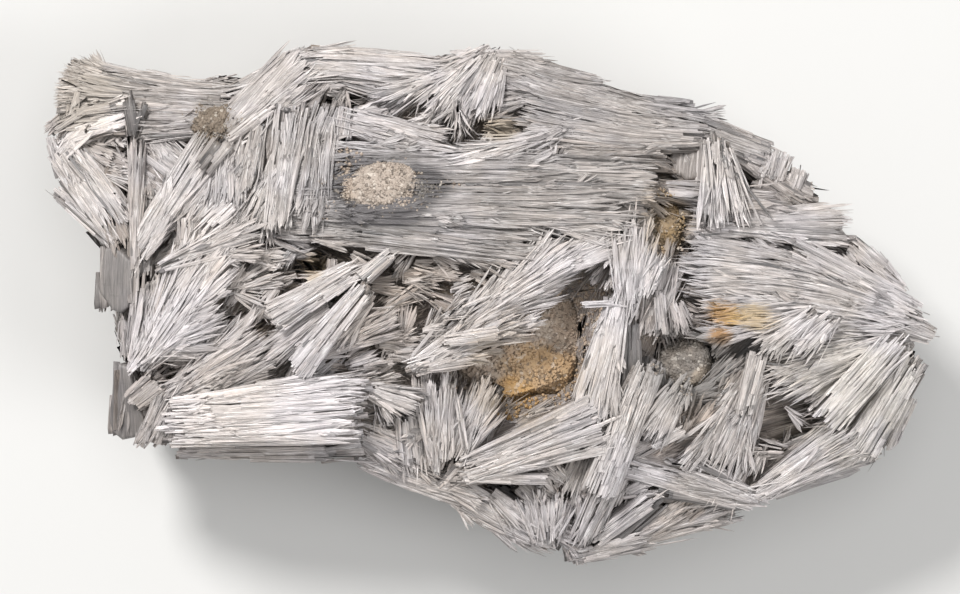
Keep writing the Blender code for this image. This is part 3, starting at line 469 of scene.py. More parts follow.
def grow(guide, length, width, depth, habit, rng, tone, glass, stain, cover, hollow=1.0):
    """One crop of blades on the face and the sides of a guide. Deep or underlying blades get painted shade; deep ones a
    brown stain.
    """
    side_depth = min(depth, 4.5)
    area = (width + side_depth) * length
    longest = min(habit.longest / length, habit.length[1])
    shortest = min(habit.length[0], longest * 0.4)
    blade_area = habit.width * 1.3 * max(length * (shortest + longest) / 2, 0.8)
    count = int(max(6, habit.cover * cover * area / blade_area))
    on_side = rng.random(count) < side_depth * 0.9 / (width + side_depth * 0.9)
    hand = np.where(rng.random(count) < 0.5, -1.0, 1.0)
    sideways = np.where(on_side, hand * rng.uniform(0.93, 1.0, count), rng.uniform(-0.97, 0.97, count))
    sideways = np.where(on_side, sideways, sideways * rng.uniform(0.95, 1.1, count))
    # neighbouring blades are grown together in ribbons, which differ in height, turn and tone
    ribbons = int(max(3, width / 1.1))
    ribbon = np.clip(((sideways + 1) / 2 * ribbons + rng.normal(0, 0.3, count)).astype(int), 0, ribbons - 1)
    step = rng.uniform(0, 0.9 * habit.loose, ribbons)
    swing = rng.normal(0, habit.yaw * 0.8, ribbons)
    shade = rng.normal(0, 0.06, ribbons)
    further, further_back = rng.uniform(-1, 0.3, ribbons), rng.uniform(-0.6, 0.5, ribbons)
    ragged = min(habit.ragged, 0.2 * length) / length
    layer = rng.random(count) ** 1.3 * habit.loose
    drop = np.where(on_side, rng.uniform(0.1, 1, count) * side_depth, 0.08 * width * sideways ** 2 + layer) - 0.3
    drop = drop + step[ribbon] * (~on_side)

    share = rng.uniform(shortest, longest, count)
    to_end = rng.random(count) < 0.30 * np.sqrt(share / longest)
    end = np.where(to_end, 1.0, rng.uniform(0, 1, count) * (1 - share) + share)
    end = end + np.where(to_end, (further[ribbon] + rng.uniform(-0.5, 0.25, count)) * ragged, 0)
    end = end - np.where(to_end, 0.9 * ragged * sideways ** 2 * (~on_side), 0)
    earliest = (further_back[ribbon] + rng.uniform(-0.7, 0.4, count)) * ragged + 0.5 * ragged * sideways ** 2
    begin = np.maximum(end - share, earliest)
    end = np.maximum(end, begin + 0.6 / length)

    wide = habit.width * np.exp(rng.normal(-0.1, 0.55, count))
    wide = np.minimum(wide, 0.3 * (end - begin) * length)
    thick = np.minimum(wide, 0.8) * rng.uniform(*habit.thin, count)
    roll = np.radians(np.where(on_side, hand * 68, sideways * 14) + rng.normal(0, habit.roll, count))
    stray = np.where(rng.random(count) < STRAYS, STRAY_TIMES, 1.0)
    turn = rng.normal(0, habit.yaw, count) * stray + swing[ribbon] + habit.splay * sideways * np.abs(sideways)
    yaw = np.tan(np.radians(np.clip(turn, -MAX_TURN, MAX_TURN)))
    pitch = np.tan(np.radians(np.minimum(np.abs(rng.normal(0, habit.pitch, count)) * stray, MAX_PITCH)))

    shape = habit.template.points
    points = np.empty((count, len(shape), 3))
    soft = np.zeros_like(points)
    twist = rng.normal(0, TWIST, count)
    first, _across, _out = guide(begin, sideways)
    last, _across, _out = guide(end, sideways)
    along = unit(last - first)
    size = np.linalg.norm(last - first, axis=1)
    for index, (x, y, z) in enumerate(shape):
        share_along = begin + (end - begin) * x
        middle, across, out = guide(share_along, sideways)
        bury = habit.bury * np.clip(1 - share_along / 0.16, 0, 1.3) ** 2
        face = out * np.cos(roll)[:, None] + across * np.sin(roll)[:, None]
        face = unit(face - along * (face * along).sum(1, keepdims=True))
        beside = np.cross(face, along)
        offset = beside * (y * wide + yaw * size * x)[:, None]
        offset += face * (z * thick + pitch * size * x * x - 0.15 * (1 - x))[:, None]
        points[:, index] = middle - out * (drop + bury)[:, None] + offset
        if habit.template is not PRISM:
            soft[:, index] = unit(face + (~on_side)[:, None] * out * 0.25 + beside * (twist + ROUNDING * y)[:, None])

    # streaks run the length of a sheaf, so the tone goes with the place across it
    waves = sum(np.sin(sideways * rate * width / 6 + rng.uniform(0, 6)) for rate in (5, 11, 23)) / 3
    # painted shade: blades deep below the dome (as far as hollow allows) and blades low in their layer get a darker
    # tone; the deep ones are also stained browner
    depth_down = crest(points[:, 0, :2]) - points[:, 0, 2]
    low = np.clip((depth_down - 1.0) / 6, 0, 1) * hollow
    tones = tone + 0.07 * waves + shade[ribbon] + rng.normal(0, 0.05, count)
    tones = np.clip(tones - 0.18 * layer / max(habit.loose, 0.1) - 0.2 * low, 0.02, 1.2)
    glassy = np.where(rng.random(count) < glass, rng.uniform(0.5, 1, count), rng.uniform(0, 0.15, count))
    if glass > 0.5:
        glassy = np.maximum(glassy, glass * rng.uniform(0.7, 1, count))
    stains = np.clip(stain + rng.normal(0, 0.06, count) + 0.45 * low, 0, 1)
    tint = np.stack([tones, glassy, stains], 1)
    # the blade map: millimetres across and along the whole sheaf, so that cleavage lines run on from blade to blade
    across_map = shape[None, :, 1] * wide[:, None] + (sideways * width / 2 + 0.4 * drop)[:, None] + rng.uniform(0, 90)
    along_map = (begin[:, None] + (end - begin)[:, None] * shape[None, :, 0]) * length + rng.uniform(0, 90)
    keep = np.ones(count, bool)
    for crust in CRUSTS:
        for places in (points[:, 0], points.mean(1), points[:, -1]):
            keep &= reach(places, crust) > rng.uniform(0.4, 1.15, count)
    return Crop(habit.template, points[keep], tint[keep], np.stack([across_map, along_map], 2)[keep], soft[keep])


print("a blade turns at most", MAX_TURN, "degrees and rises at most", MAX_PITCH)

# %% [markdown]
# ## From crops to pieces
# The crops of one region become one mesh, with the tint and the map of each blade as attributes.

# %% Pieces
def dress(name, mesh, finish):
    """Show a mesh with its finish as one piece that rides on the specimen."""
    mesh.materials.append(finish)
    piece = bpy.data.objects.new(name, mesh)
    bpy.context.scene.collection.objects.link(piece)
    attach(piece, "root")
    return piece


def harvest(name, crops, finish):
    """Join crops of blades into one piece. Nothing in it reaches below the ground."""
    points, faces_from, faces_count, tints, maps, base = [], [], [], [], [], 0
    soft = np.concatenate([crop.soft.reshape(-1, 3) for crop in crops])
    for crop in crops:
        count, per_blade = crop.points.shape[:2]
        starts = base + np.arange(count) * per_blade
        points.append(crop.points.reshape(-1, 3))
        maps.append(crop.map.reshape(-1, 2))
        tints.append(np.repeat(crop.tint, per_blade, 0))
        for face in crop.template.faces:
            corner = starts[:, None] + np.array(face)[None]
            faces_from.append(corner.reshape(-1))
            faces_count.append(np.full(count, len(face)))
        base += count * per_blade
    points, corners, sizes = np.concatenate(points), np.concatenate(faces_from), np.concatenate(faces_count)
    points[:, 2] = np.maximum(points[:, 2], 0)
    mesh = bpy.data.meshes.new(name)
    mesh.vertices.add(len(points))
    mesh.vertices.foreach_set("co", (points * MM).astype(np.float32).reshape(-1))
    mesh.loops.add(len(corners))
    mesh.loops.foreach_set("vertex_index", corners.astype(np.int32))
    mesh.polygons.add(len(sizes))
    mesh.polygons.foreach_set("loop_start", np.concatenate([[0], np.cumsum(sizes)[:-1]]).astype(np.int32))
    uv = mesh.uv_layers.new(name="blade_map")
    uv.data.foreach_set("uv", np.concatenate(maps)[corners].astype(np.float32).reshape(-1))
    tint = mesh.color_attributes.new("tint", "FLOAT_COLOR", "POINT")
    colours = np.concatenate([np.concatenate(tints), np.ones((len(points), 1))], 1)
    tint.data.foreach_set("color", colours.astype(np.float32).reshape(-1))
    mesh.update(calc_edges=True)
    mesh.validate()
    rounded = [np.full(len(crop.points) * len(crop.template.faces), bool(crop.soft.any())) for crop in crops]
    mesh.polygons.foreach_set("use_smooth", np.concatenate(rounded))
    mesh.normals_split_custom_set_from_vertices(soft)
    triangles = sum(len(crop.points) * triangles_of(crop.template) for crop in crops)
    print(name, sum(len(crop.points) for crop in crops), "blades", triangles, "triangles")
    return dress(name, mesh, finish)


print("every piece rides on the specimen")

# %% [markdown]
# ## Regions
# A region is a table of sheaves that is grown as one piece. Frayed sheaves also throw small side sheaves, so that
# neither their faces nor their edges are straight and even.

# %% Regions
def offshoots(sheaf, rng):
    """Small side sheaves that leave a frayed sheaf at a slight angle, so that its face and its edges look feathered."""
    run = np.array(sheaf.tip, float) - np.array(sheaf.root, float)
    length = np.hypot(*run)
    along, side = run / length, np.array([-run[1], run[0]]) / length
    made = []
    for _ in range(int(length * sum(sheaf.width) / 2 / (9 if sheaf.habit is FAN else 15))):
        u, across = rng.uniform(0.05, 0.95), rng.uniform(-0.95, 0.95)
        half = blend(sheaf.width, u) / 2
        start = np.array(sheaf.root) + run * u + side * (across * half + sheaf.bow * 4 * u * (1 - u))
        widening = across * (sheaf.width[1] - sheaf.width[0]) * 90 / length / 3.2
        angle = math.radians(rng.normal(0, 7) + across * abs(across) * 14 + widening)
        size = min(rng.uniform(3.5, 9), 0.6 * length)
        heading = along * math.cos(angle) + side * math.sin(angle)
        lift = blend(sheaf.lift, u)
        start = start - heading * size * 0.5
        wide = rng.uniform(0.7, 2.0)
        made.append(Sheaf("", tuple(start), tuple(start + heading * size), (wide * 0.6, wide), 0.8,
                          (lift - 0.7, lift + rng.uniform(0.0, 0.7) - 0.25 * abs(across)), 0, FAN,
                          sheaf.tone + rng.normal(0.02, 0.09), sheaf.glass, sheaf.stain))
    return made


def grow_region(name, rows, seed, share=0.75):
    """All sheaves of a table as one piece. Frayed ones share their blades with their side sheaves."""
    rng = np.random.default_rng(seed)
    crops = []
    for sheaf in (Sheaf(*row) for row in rows):
        frayed = any(sheaf.habit is habit for habit in FRAYED)
        cover = share if frayed else 1.0
        for part in [sheaf] + (offshoots(sheaf, rng) if frayed else []):
            guide, length, width = plan_guide(part)
            crops.append(grow(guide, length, width, part.depth, part.habit, rng,
                              part.tone, part.glass, part.stain, cover))
    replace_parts(harvest(name, crops, silky), "tremolite_sheaves")


print("ready to grow")

# %% [markdown]
# ## The arm and the lobe at the left end
# A short arm of tightly packed blades ends in a brush. Below it, bright silver blades, two dark glassy prisms and a
# kite-shaped flat blade frame a hole, and a lobe of broad parallel blades leans outwards to the rim.

# %% Arm and lobe
# name, root, tip, width, depth, lift, bow, habit, tone, glass, stain
ARM_AND_LOBE = [
    ("arm", (-41, 32), (-66, 34.7), (5.5, 9.0), 9, (0.4, 0.4), 0.6, SILK, 0.5, 0.03, 0.08),
    ("brush_up", (-61.5, 35.4), (-65.4, 38.8), (3.6, 4.4), 8, (0.5, -0.5), 0, TUFT, 0.66, 0.03, 0.06),
    ("brush_upper_left", (-61.5, 35.2), (-67.8, 37.2), (4.2, 4.6), 8, (0.6, -0.5), 0, TUFT, 0.66, 0.03, 0.06),
    ("brush_left", (-61.5, 34.4), (-69.4, 34.4), (4.5, 4.8), 8, (0.6, -0.6), 0, TUFT, 0.62, 0.03, 0.08),
    ("brush_lower_left", (-61.5, 33.6), (-69.2, 31.9), (4.5, 4.4), 8, (0.5, -0.9), 0, TUFT, 0.58, 0.03, 0.12),
    ("brush_low", (-61, 33), (-66.8, 29.8), (3.6, 3.6), 7, (0.2, -1.2), 0, TUFT, 0.5, 0.03, 0.2),
    ("arm_underside", (-61, 34), (-69, 26.4), (5, 4), 7, (-0.6, -1.6), 0, SHEAF, 0.55, 0.05, 0.25),
    ("silver_blade_low", (-68.4, 23.4), (-63.6, 28.4), (2.2, 3.6), 4, (-0.2, 1.0), 0.5, SLAB, 1.05, 0.0, 0.0),
    ("silver_blade_high", (-64.4, 28.0), (-57.0, 30.8), (3.4, 4.8), 4, (1.0, 1.3), 0, SILK, 1.1, 0.0, 0.0),
    ("arm_lower_band", (-45, 29), (-57, 28), (5, 4.5), 5, (-0.4, 0.0), 0, SHEAF, 0.55, 0.08, 0.1),
    ("dark_prism_left", (-56.3, 26.0), (-57.7, 34.0), (0.9, 1.5), 2.5, (1.2, 1.8), 0, GLASS, 0.3, 0.98, 0.15),
    ("dark_prism_right", (-56.0, 26.6), (-54.3, 31.6), (0.8, 1.1), 2.5, (1.2, 1.4), 0, GLASS, 0.3, 0.95, 0.15),
    ("upright_glass_blade", (-55.9, 4), (-56.2, 27), (1.3, 2.2), 4, (1.3, 1.4), 0, SILK, 0.60, 0.22, 0.18),
    ("kite_blade", (-55.4, 24), (-48.2, 18.6), (7.5, 7), 4, (-0.6, -1.1), 0, GLASS, 0.85, 0.05, 0.0),
    ("kite_tail", (-54.2, 18), (-54.9, 4), (2.6, 3), 5, (-0.6, -0.6), 0, SLAB, 0.6, 0.15, 0.1),
    ("lobe_slab", (-67.4, 24.4), (-58.6, 12.0), (5.6, 5), 6, (0.4, -0.1), 0, SILK, 0.74, 0.08, 0.06),
    ("lobe_dark", (-67.6, 20.4), (-60.2, 12.0), (2.6, 2.4), 5, (-0.9, -0.9), 0, GLASS, 0.45, 0.6, 0.1),
    ("lobe_inner", (-63, 24), (-57.5, 20.5), (3, 5), 5, (-1.6, -1.6), 0, SLAB, 0.75, 0.1, 0.05),
    ("lobe_edge_blade", (-69, 18.4), (-58.6, 9.8), (2.6, 3), 5, (-1.6, -0.6), 0, SLAB, 0.85, 0.15, 0.0),
    ("lobe_rim", (-69.4, 26.6), (-67.4, 20), (2.6, 2.4), 6, (-0.6, -1.6), 0, SLAB, 0.7, 0.1, 0.1),
    ("lobe_filler", (-66, 19), (-60, 12.5), (4, 4), 5, (-1.6, -1.6), 0, SLAB, 0.45, 0.3, 0.2),
    ("brown_blades", (-61.5, 19.5), (-58, 8.5), (3.4, 3), 5, (-0.5, -0.5), 0, SHEAF, 0.45, 0.1, 0.4),
    ("glass_block_upper", (-60, 9.5), (-59.4, -1.2), (3.4, 5.0), 7, (-1.9, -1.9), 0, GLASS, 0.5, 0.5, 0.1),
    ("edge_splinters", (-57.8, -1.5), (-56, -9), (1.8, 3), 5, (-0.6, -0.6), 0, FAN, 0.6, 0.2, 0.1),
    ("glass_block_lower", (-58, -9), (-57.7, -21), (3, 4.4), 8, (-1.9, -2.3), 0, GLASS, 0.5, 0.45, 0.1),
]
grow_region("arm_and_lobe", ARM_AND_LOBE, 1)

# %% [markdown]
# ## Clear blocks
# Two blocks on the left rim and one at the right end of the long ridge are single crystals. Each shows one flat clear
# face. So they aren't crops of blades: their outline is drawn in plan, extruded down, and its edges are worn.

# %% Clear blocks
# slope of the faces along X, then in millimetres how far the feet stand aside and how far the edges are worn
BLOCK_TILT, BLOCK_LEAN, BLOCK_WEAR = 0.4, (1.2, 0.3), 0.7
# the outline of the face in plan, its lift and the depth below it in millimetres, and its tone, glass and stain
CLEAR_BLOCKS = [
    ([(-60.8, 8.9), (-59.4, 9.2), (-58, 8.4), (-56.6, 7.0), (-56.2, 4.5), (-56.1, 1.9), (-56.9, -0.4), (-58.1, -1.4),
      (-59.6, -0.9), (-60.7, 0.6), (-61.7, 1.8), (-61.9, 3.1), (-61.4, 5), (-61.3, 7)], 0.4, 3.2, (0.48, 0.72, 0.10)),
    ([(-58.7, -9.1), (-57.2, -9.6), (-56.6, -11.5), (-56.2, -13.5), (-55.4, -15.9), (-54.6, -18.0), (-54.8, -20.2),
      (-56.4, -20.9), (-58.2, -21.3), (-59.8, -20.1), (-60.4, -18.4), (-60.3, -16.2), (-59.8, -13.9),
      (-59.6, -11.4)], 0.0, 3.2, (0.48, 0.72, 0.10)),
    ([(28.2, 24.9), (30.4, 25.3), (32.9, 24.2), (33.3, 21.8), (32.2, 19.6), (30.0, 19.2), (28.2, 20.6),
      (27.6, 22.8)], 0.2, 3.0, (0.42, 0.50, 0.32)),
]


def clear_blocks(name):
    """Single crystals that show a flat clear face: a face drawn in plan, extruded down, with worn edges."""
    bm = bmesh.new()
    for outline, lift, depth, _tint in CLEAR_BLOCKS:
        places = np.array(outline)
        top = crest(places) + lift + BLOCK_TILT * (places[:, 0] - places[:, 0].max())
        ring = [bm.verts.new(Vector((x, y, z)) * MM) for (x, y), z in zip(outline, top)]
        face = bm.faces.new(ring)
        made = bmesh.ops.extrude_face_region(bm, geom=[face], use_keep_orig=True)
        low = [item for item in made["geom"] if isinstance(item, bmesh.types.BMVert)]
        bmesh.ops.translate(bm, verts=low, vec=Vector((*BLOCK_LEAN, -depth)) * MM)
    bmesh.ops.recalc_face_normals(bm, faces=bm.faces)
    rims = [edge for edge in bm.edges if edge.is_manifold and edge.calc_face_angle() > 1.0]
    bmesh.ops.bevel(bm, geom=rims, offset=BLOCK_WEAR * MM, segments=4, profile=0.6, affect="EDGES")
    bmesh.ops.triangulate(bm, faces=bm.faces)
    uv = bm.loops.layers.uv.new("blade_map")
    tints = bm.verts.layers.float_color.new("tint")
    middles = [(np.mean(outline, axis=0), tint) for outline, _lift, _depth, tint in CLEAR_BLOCKS]
    for face in bm.faces:
        face.smooth = True
        for loop in face.loops:
            place = loop.vert.co / MM
            loop[uv].uv = (0.6 * place.x + place.z * 0.3, place.y)
            _middle, tint = min(middles, key=lambda known: np.linalg.norm(known[0] - place[:2]))
            loop.vert[tints] = (*tint, 1)
    mesh = bpy.data.meshes.new(name)
    bm.to_mesh(mesh)
    bm.free()
    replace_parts(dress(name, mesh, silky), "tremolite_sheaves")
    print(name, len(mesh.polygons), "triangles")


clear_blocks("clear_blocks")

# %% [markdown]
# ## The shoulder and its hanging slabs
# Where the arm joins the body, one sheaf fans up to the highest point of the edge and several slabs hang from it. One
# block has cleaved into small square steps.

# %% Shoulder
SHOULDER = [
    ("long_diagonal", (-55.5, 8.5), (-43.8, 26.5), (4.2, 4.4), 6, (1.4, 1.9), 0, SILK, 0.8, 0.05, 0.0),
    ("diagonal_glass", (-45.5, 21), (-41.5, 26), (2.6, 3), 4, (2.4, 2.4), 0, GLASS, 0.55, 0.45, 0.05),
    ("shoulder_fan", (-43, 26), (-28.4, 38.6), (6, 8), 8, (0.9, 0), 0, SILK, 0.72, 0.05, 0.05),
    ("shoulder_top", (-41, 33), (-29, 39.4), (3, 3.2), 7, (-0.6, -0.6), 0, SLAB, 0.7, 0.1, 0.05),
    ("thin_bright_lath", (-41.5, 25.5), (-34, 31), (1, 1), 1.5, (2.4, 2), 0, SLAB, 0.95, 0.0, 0.0),
    ("hanging_slab", (-31, 31.5), (-33.6, 11.2), (6.4, 3), 6, (2.2, 2.7), 0, SILK, 0.5, 0.03, 0.0),
    ("hanging_slab_left", (-36.2, 28.5), (-38.3, 17.6), (2.8, 3.4), 5, (1.5, 1.5), 0, SILK, 0.5, 0.08, 0.05),
    ("hanging_slab_right", (-25.6, 31.5), (-29, 21.8), (4.6, 4), 5, (1.6, 2.0), 0, SILK, 0.5, 0.08, 0.05),
    ("short_uprights", (-22.6, 31), (-23.4, 25.6), (2.6, 2.4), 4, (1.9, 1.9), 0, SLAB, 0.6, 0.1, 0.1),
    ("hanging_veil", (-26.2, 29.5), (-27.6, 14.0), (4.6, 4.4), 3, (2.9, 3.5), 0, FAN, 0.58, 0.03, 0.02),
    ("cleaved_block", (-38.5, 19.5), (-46, 7.5), (7, 6.5), 6, (0.4, 0.9), 0, SHEAF, 0.7, 0.1, 0.12),
    ("cleavage_step", (-40.5, 16.5), (-44.5, 12.5), (3, 3), 4, (1.2, 1.2), 0, SLAB, 0.92, 0.05, 0.0),
    ("diagonal_filler", (-50.5, 11), (-40, 23), (4, 5), 5, (0.5, 0.9), 0, FAN, 0.7, 0.05, 0.08),
    ("hanging_filler", (-41, 27), (-41.5, 15), (4.5, 6), 5, (1.2, 1.3), 0, SILK, 0.58, 0.04, 0.02),
    ("hanging_filler_right", (-30.5, 27), (-36, 12), (5, 5), 5, (1.0, 1.2), 0, SILK, 0.62, 0.04, 0.02),
    ("short_columns", (-47.5, 13.5), (-47.5, 8.5), (3.4, 3.4), 4, (1.4, 1.4), 0, SLAB, 0.6, 0.1, 0.15),
]
grow_region("shoulder_sheaves", SHOULDER, 2)

# %% [markdown]
# ## The fans of the left half
# Loose fans open to the right and up. Their blades end in points that stand over two deep hollows, and two rounded
# paddles of flush blades cross them.

# %% Left fans
LEFT_FANS = [
    ("left_fan_main", (-55.5, -10), (-42.5, 10.5), (3.6, 8.5), 7, (1.9, 2.4), 0, FAN, 0.92, 0.03, 0.0),
    ("left_fan_middle", (-54, -7), (-41.5, 1), (3, 6.5), 6, (1.4, 1.9), 0, FAN, 0.84, 0.05, 0.05),
    ("left_fan_low", (-53.5, -8), (-43.4, -6), (2.4, 3.6), 5, (0.9, 0.4), 0, FAN, 0.72, 0.05, 0.1),
    ("left_edge_mass", (-54, 4), (-55.8, -8), (4.5, 3.5), 7, (0.4, 0.4), 0, SHEAF, 0.6, 0.1, 0.1),
    ("crossing_lath_long", (-52.5, 5.5), (-36.5, 12.8), (1.6, 2.2), 3, (2.9, 2.4), 0, FAN, 0.75, 0.05, 0.05),
    ("crossing_lath_mid", (-43.5, 7.8), (-35.5, 8.3), (1.6, 1.8), 3, (2.4, 1.9), 0, FAN, 0.7, 0.05, 0.1),
    ("pink_block", (-56.6, -15.6), (-52, -12), (3.6, 4.6), 6, (0.9, 1.4), 0, SLAB, 0.62, 0.08, 0.15),
    ("slab_tail", (-53.6, -21.6), (-49.6, -14), (4.6, 4.2), 6, (1.4, 1.9), 0, SHEAF, 0.7, 0.05, 0.1),
    ("low_left_fan", (-51.5, -14.8), (-36, -4), (3, 6), 6, (1.4, 0.9), 0, FAN, 0.78, 0.06, 0.12),
    ("low_left_fan_edge", (-46, -14), (-34, -8), (3, 4.5), 5, (0.9, 0.4), 0, FAN, 0.68, 0.1, 0.12),
    ("paddle_long", (-19.5, 3), (-30.4, -10.4), (3, 3.8), 5, (2.9, 3.4), 0, PADDLE, 0.82, 0.03, 0.02),
    ("paddle_broad", (-20.5, 6), (-34.6, -2.4), (3, 4.4), 5, (2.4, 2.4), 0, PADDLE, 0.78, 0.03, 0.05),
    ("paddle_under", (-25, 0), (-35.5, -8.5), (3, 4), 5, (0.9, 0.9), 0, SHEAF, 0.74, 0.06, 0.12),
    ("paddle_thin", (-18.5, 1.5), (-25.5, -6.5), (2, 2.4), 4, (1.9, 1.9), 0, FAN, 0.6, 0.05, 0.25),
    ("tan_fan", (-27, -7.8), (-14.5, -1), (2, 4.6), 5, (0.9, 1.4), 0, FAN, 0.6, 0.04, 0.28),
    ("pocket_chip", (-15.5, 8.3), (-20.5, 4), (1.8, 2.2), 4, (2.4, 2.4), 0, SLAB, 0.75, 0.05, 0.1),
    ("hollow_chip_left", (-22, 8), (-19, 6), (1.4, 1.6), 3, (1.4, 1.4), 0, FAN, 0.6, 0.05, 0.2),
    ("hollow_chip_middle", (-25, 7.4), (-25, 4.2), (1.6, 1.2), 3, (0.6, 0.6), 0, FAN, 0.6, 0.05, 0.2),
]
grow_region("left_fans", LEFT_FANS, 3)

# %% [markdown]
# ## The top edge
# A ridge of fine blades runs along the top edge over a shaded hollow, and a fan drops from it like a small waterfall.

# %% Top edge
TOP_EDGE = [
    ("top_ridge", (-30, 38.8), (-7.5, 37), (4.6, 3.4), 7, (0.4, 0), 0.3, SILK, 0.72, 0.05, 0.05),
    ("top_ridge_low", (-29.5, 37), (-13, 34.8), (2.4, 3), 5, (-1.1, -0.6), 0, FAN, 0.66, 0.08, 0.1),
    ("hollow_glass", (-20.5, 31), (-14.5, 35.2), (2.4, 3), 4, (-3.6, -2.6), 0, GLASS, 0.4, 0.8, 0.1),
    ("cascade_fan", (-1.5, 39.2), (-10.5, 29.5), (5, 11), 7, (0.4, 1.4), 0, FAN, 0.8, 0.04, 0.0),
    ("cascade_right", (1, 39.6), (-3, 29.5), (4, 4.5), 6, (0.4, 1.4), 0, FAN, 0.74, 0.05, 0.05),
    ("cascade_lath", (-7, 36.4), (-20, 31.8), (1.8, 2.6), 3.5, (1.4, 0.9), 0, FAN, 0.75, 0.06, 0.0),
    ("top_grey_cap", (-4.5, 37.6), (1.2, 39.6), (2.6, 2.6), 5, (-0.6, -1.1), 0, SLAB, 0.5, 0.5, 0.05),
    ("hollow_lower_slab", (-22.5, 29), (-7, 24.6), (4.2, 4.6), 6, (1.9, 2.4), 0, SHEAF, 0.72, 0.05, 0.1),
    ("upright_needle", (-6, 33), (-4, 25.5), (0.9, 0.7), 2, (2.6, 3), 0, SPRAY, 0.8, 0.0, 0.05),
    ("standing_needle", (-10, 28), (-7, 33), (0.8, 0.8), 2, (2.6, 2.6), 0, SPRAY, 0.8, 0.0, 0.05),
    ("notch_filler", (-2.5, 38.5), (8.5, 37.6), (3.2, 3.6), 5, (-0.3, -0.7), 0, SILK, 0.52, 0.06, 0.05),
]
grow_region("top_edge", TOP_EDGE, 4)

# %% [markdown]
# ## The upper right edge
# Overlapping ridges step down to the right. Between them and the long ridge, a band of blades runs back to the left
# and frays out into a spray.

# %% Upper right edge
UPPER_RIGHT = [
    ("crest_right_near", (2, 38), (17.5, 33), (5, 5), 7, (0, 0), -0.6, SILK, 0.44, 0.06, 0.05),
    ("crest_right_middle", (13, 33.2), (35, 27.4), (5, 4.6), 7, (0.4, 0.4), -0.4, SILK, 0.44, 0.06, 0.05),
    ("crest_right_far", (31, 28.6), (43.6, 23.6), (4, 4), 6, (0.4, -0.1), -0.3, SLAB, 0.5, 0.08, 0.05),
    ("right_grey_cap", (23, 31.9), (32, 30.4), (2.4, 2.6), 5, (-0.6, -0.6), 0, SLAB, 0.45, 0.5, 0.05),
    ("upper_band", (34, 26.4), (4.5, 30.6), (4.6, 5.4), 7, (1.4, 1.4), 0.8, SILK, 0.45, 0.05, 0.03),
    ("upper_band_end", (12, 33.2), (1.5, 34), (2.5, 4.4), 5, (-0.6, -1.1), 0, FAN, 0.68, 0.06, 0.08),
    ("upper_band_low", (28, 25), (6, 26), (3.6, 3.4), 6, (0.9, 0.9), 0, SHEAF, 0.6, 0.06, 0.15),
    ("left_spray", (12.5, 27.6), (-7.4, 22.4), (2.6, 2.4), 4, (1.9, 2.9), 0.6, FAN, 0.8, 0.03, 0.0),
    ("curved_tan_laths", (9.5, 26), (1.5, 22.6), (2.4, 2.2), 4, (-0.1, 0.4), 0, FAN, 0.5, 0.06, 0.35),
    ("band_shadow", (28, 23.2), (8, 23), (2.6, 2.6), 6, (-1.1, -1.1), 0, SHEAF, 0.45, 0.1, 0.25),
    ("bright_needles", (9, 22.3), (10.5, 25), (1.4, 1.4), 2, (2, 2), 0, SPRAY, 0.9, 0.0, 0.0),
    ("cream_needles", (-2, 28.5), (4, 29.5), (1.6, 2.2), 2, (0.6, 0.6), 0, SPRAY, 0.6, 0.0, 0.4),
]
grow_region("upper_right_edge", UPPER_RIGHT, 5)

# %% [markdown]
# ## The long ridge
# Three long bundles lie side by side across the middle and stand highest of all. Their blades end in points at the
# right, and the lowest bundle drapes down over the pocket.

# %% Long ridge
LONG_RIDGE = [
    ("ridge_top", (-28.5, 22.4), (26, 19.6), (7.2, 5.6), 8, (2.5, 2.6), 0, BAND, 0.48, 0.06, 0.02),
    ("ridge_middle", (-29.5, 17), (23, 15.6), (7.4, 6.2), 8, (3.6, 3.6), 0, BAND, 0.46, 0.06, 0.02),
    ("ridge_low", (-28.5, 12.4), (8, 9.6), (5.6, 5.8), 7, (2.4, 2.0), 0, BAND, 0.42, 0.08, 0.06),
    ("ridge_root_high", (-34.5, 21), (-22, 22), (6, 7), 5, (0.6, 3.2), 0, BAND, 0.52, 0.03, 0.02),
    ("ridge_root_middle", (-35.5, 16.4), (-22, 17), (5.5, 7), 5, (0.4, 4.0), 0, BAND, 0.5, 0.03, 0.02),
    ("ridge_root_low", (-34, 12.4), (-20, 12.6), (4.5, 5.5), 5, (0.4, 2.9), 0, BAND, 0.5, 0.03, 0.03),
    ("ridge_drape", (-18, 11.5), (3.5, 6.2), (2.4, 3), 5, (1.9, 1.4), 0.8, FAN, 0.6, 0.06, 0.15),
    ("ridge_tips", (2, 14.5), (21, 12.5), (3.6, 4.2), 6, (2.9, 2.9), 0, FAN, 0.6, 0.05, 0.02),
    ("ridge_end", (16, 18), (25.5, 17.4), (3.5, 3), 5, (3.4, 2.9), 0, SHEAF, 0.5, 0.05, 0.02),
]
grow_region("long_ridge", LONG_RIDGE, 6)

# %% [markdown]
# ## The great fan at the right end
# All the bundles here come from one root at the far right and spread to the left like an open hand. Leaf-shaped
# clusters and pale hanging blades stand over the hollows beside them.

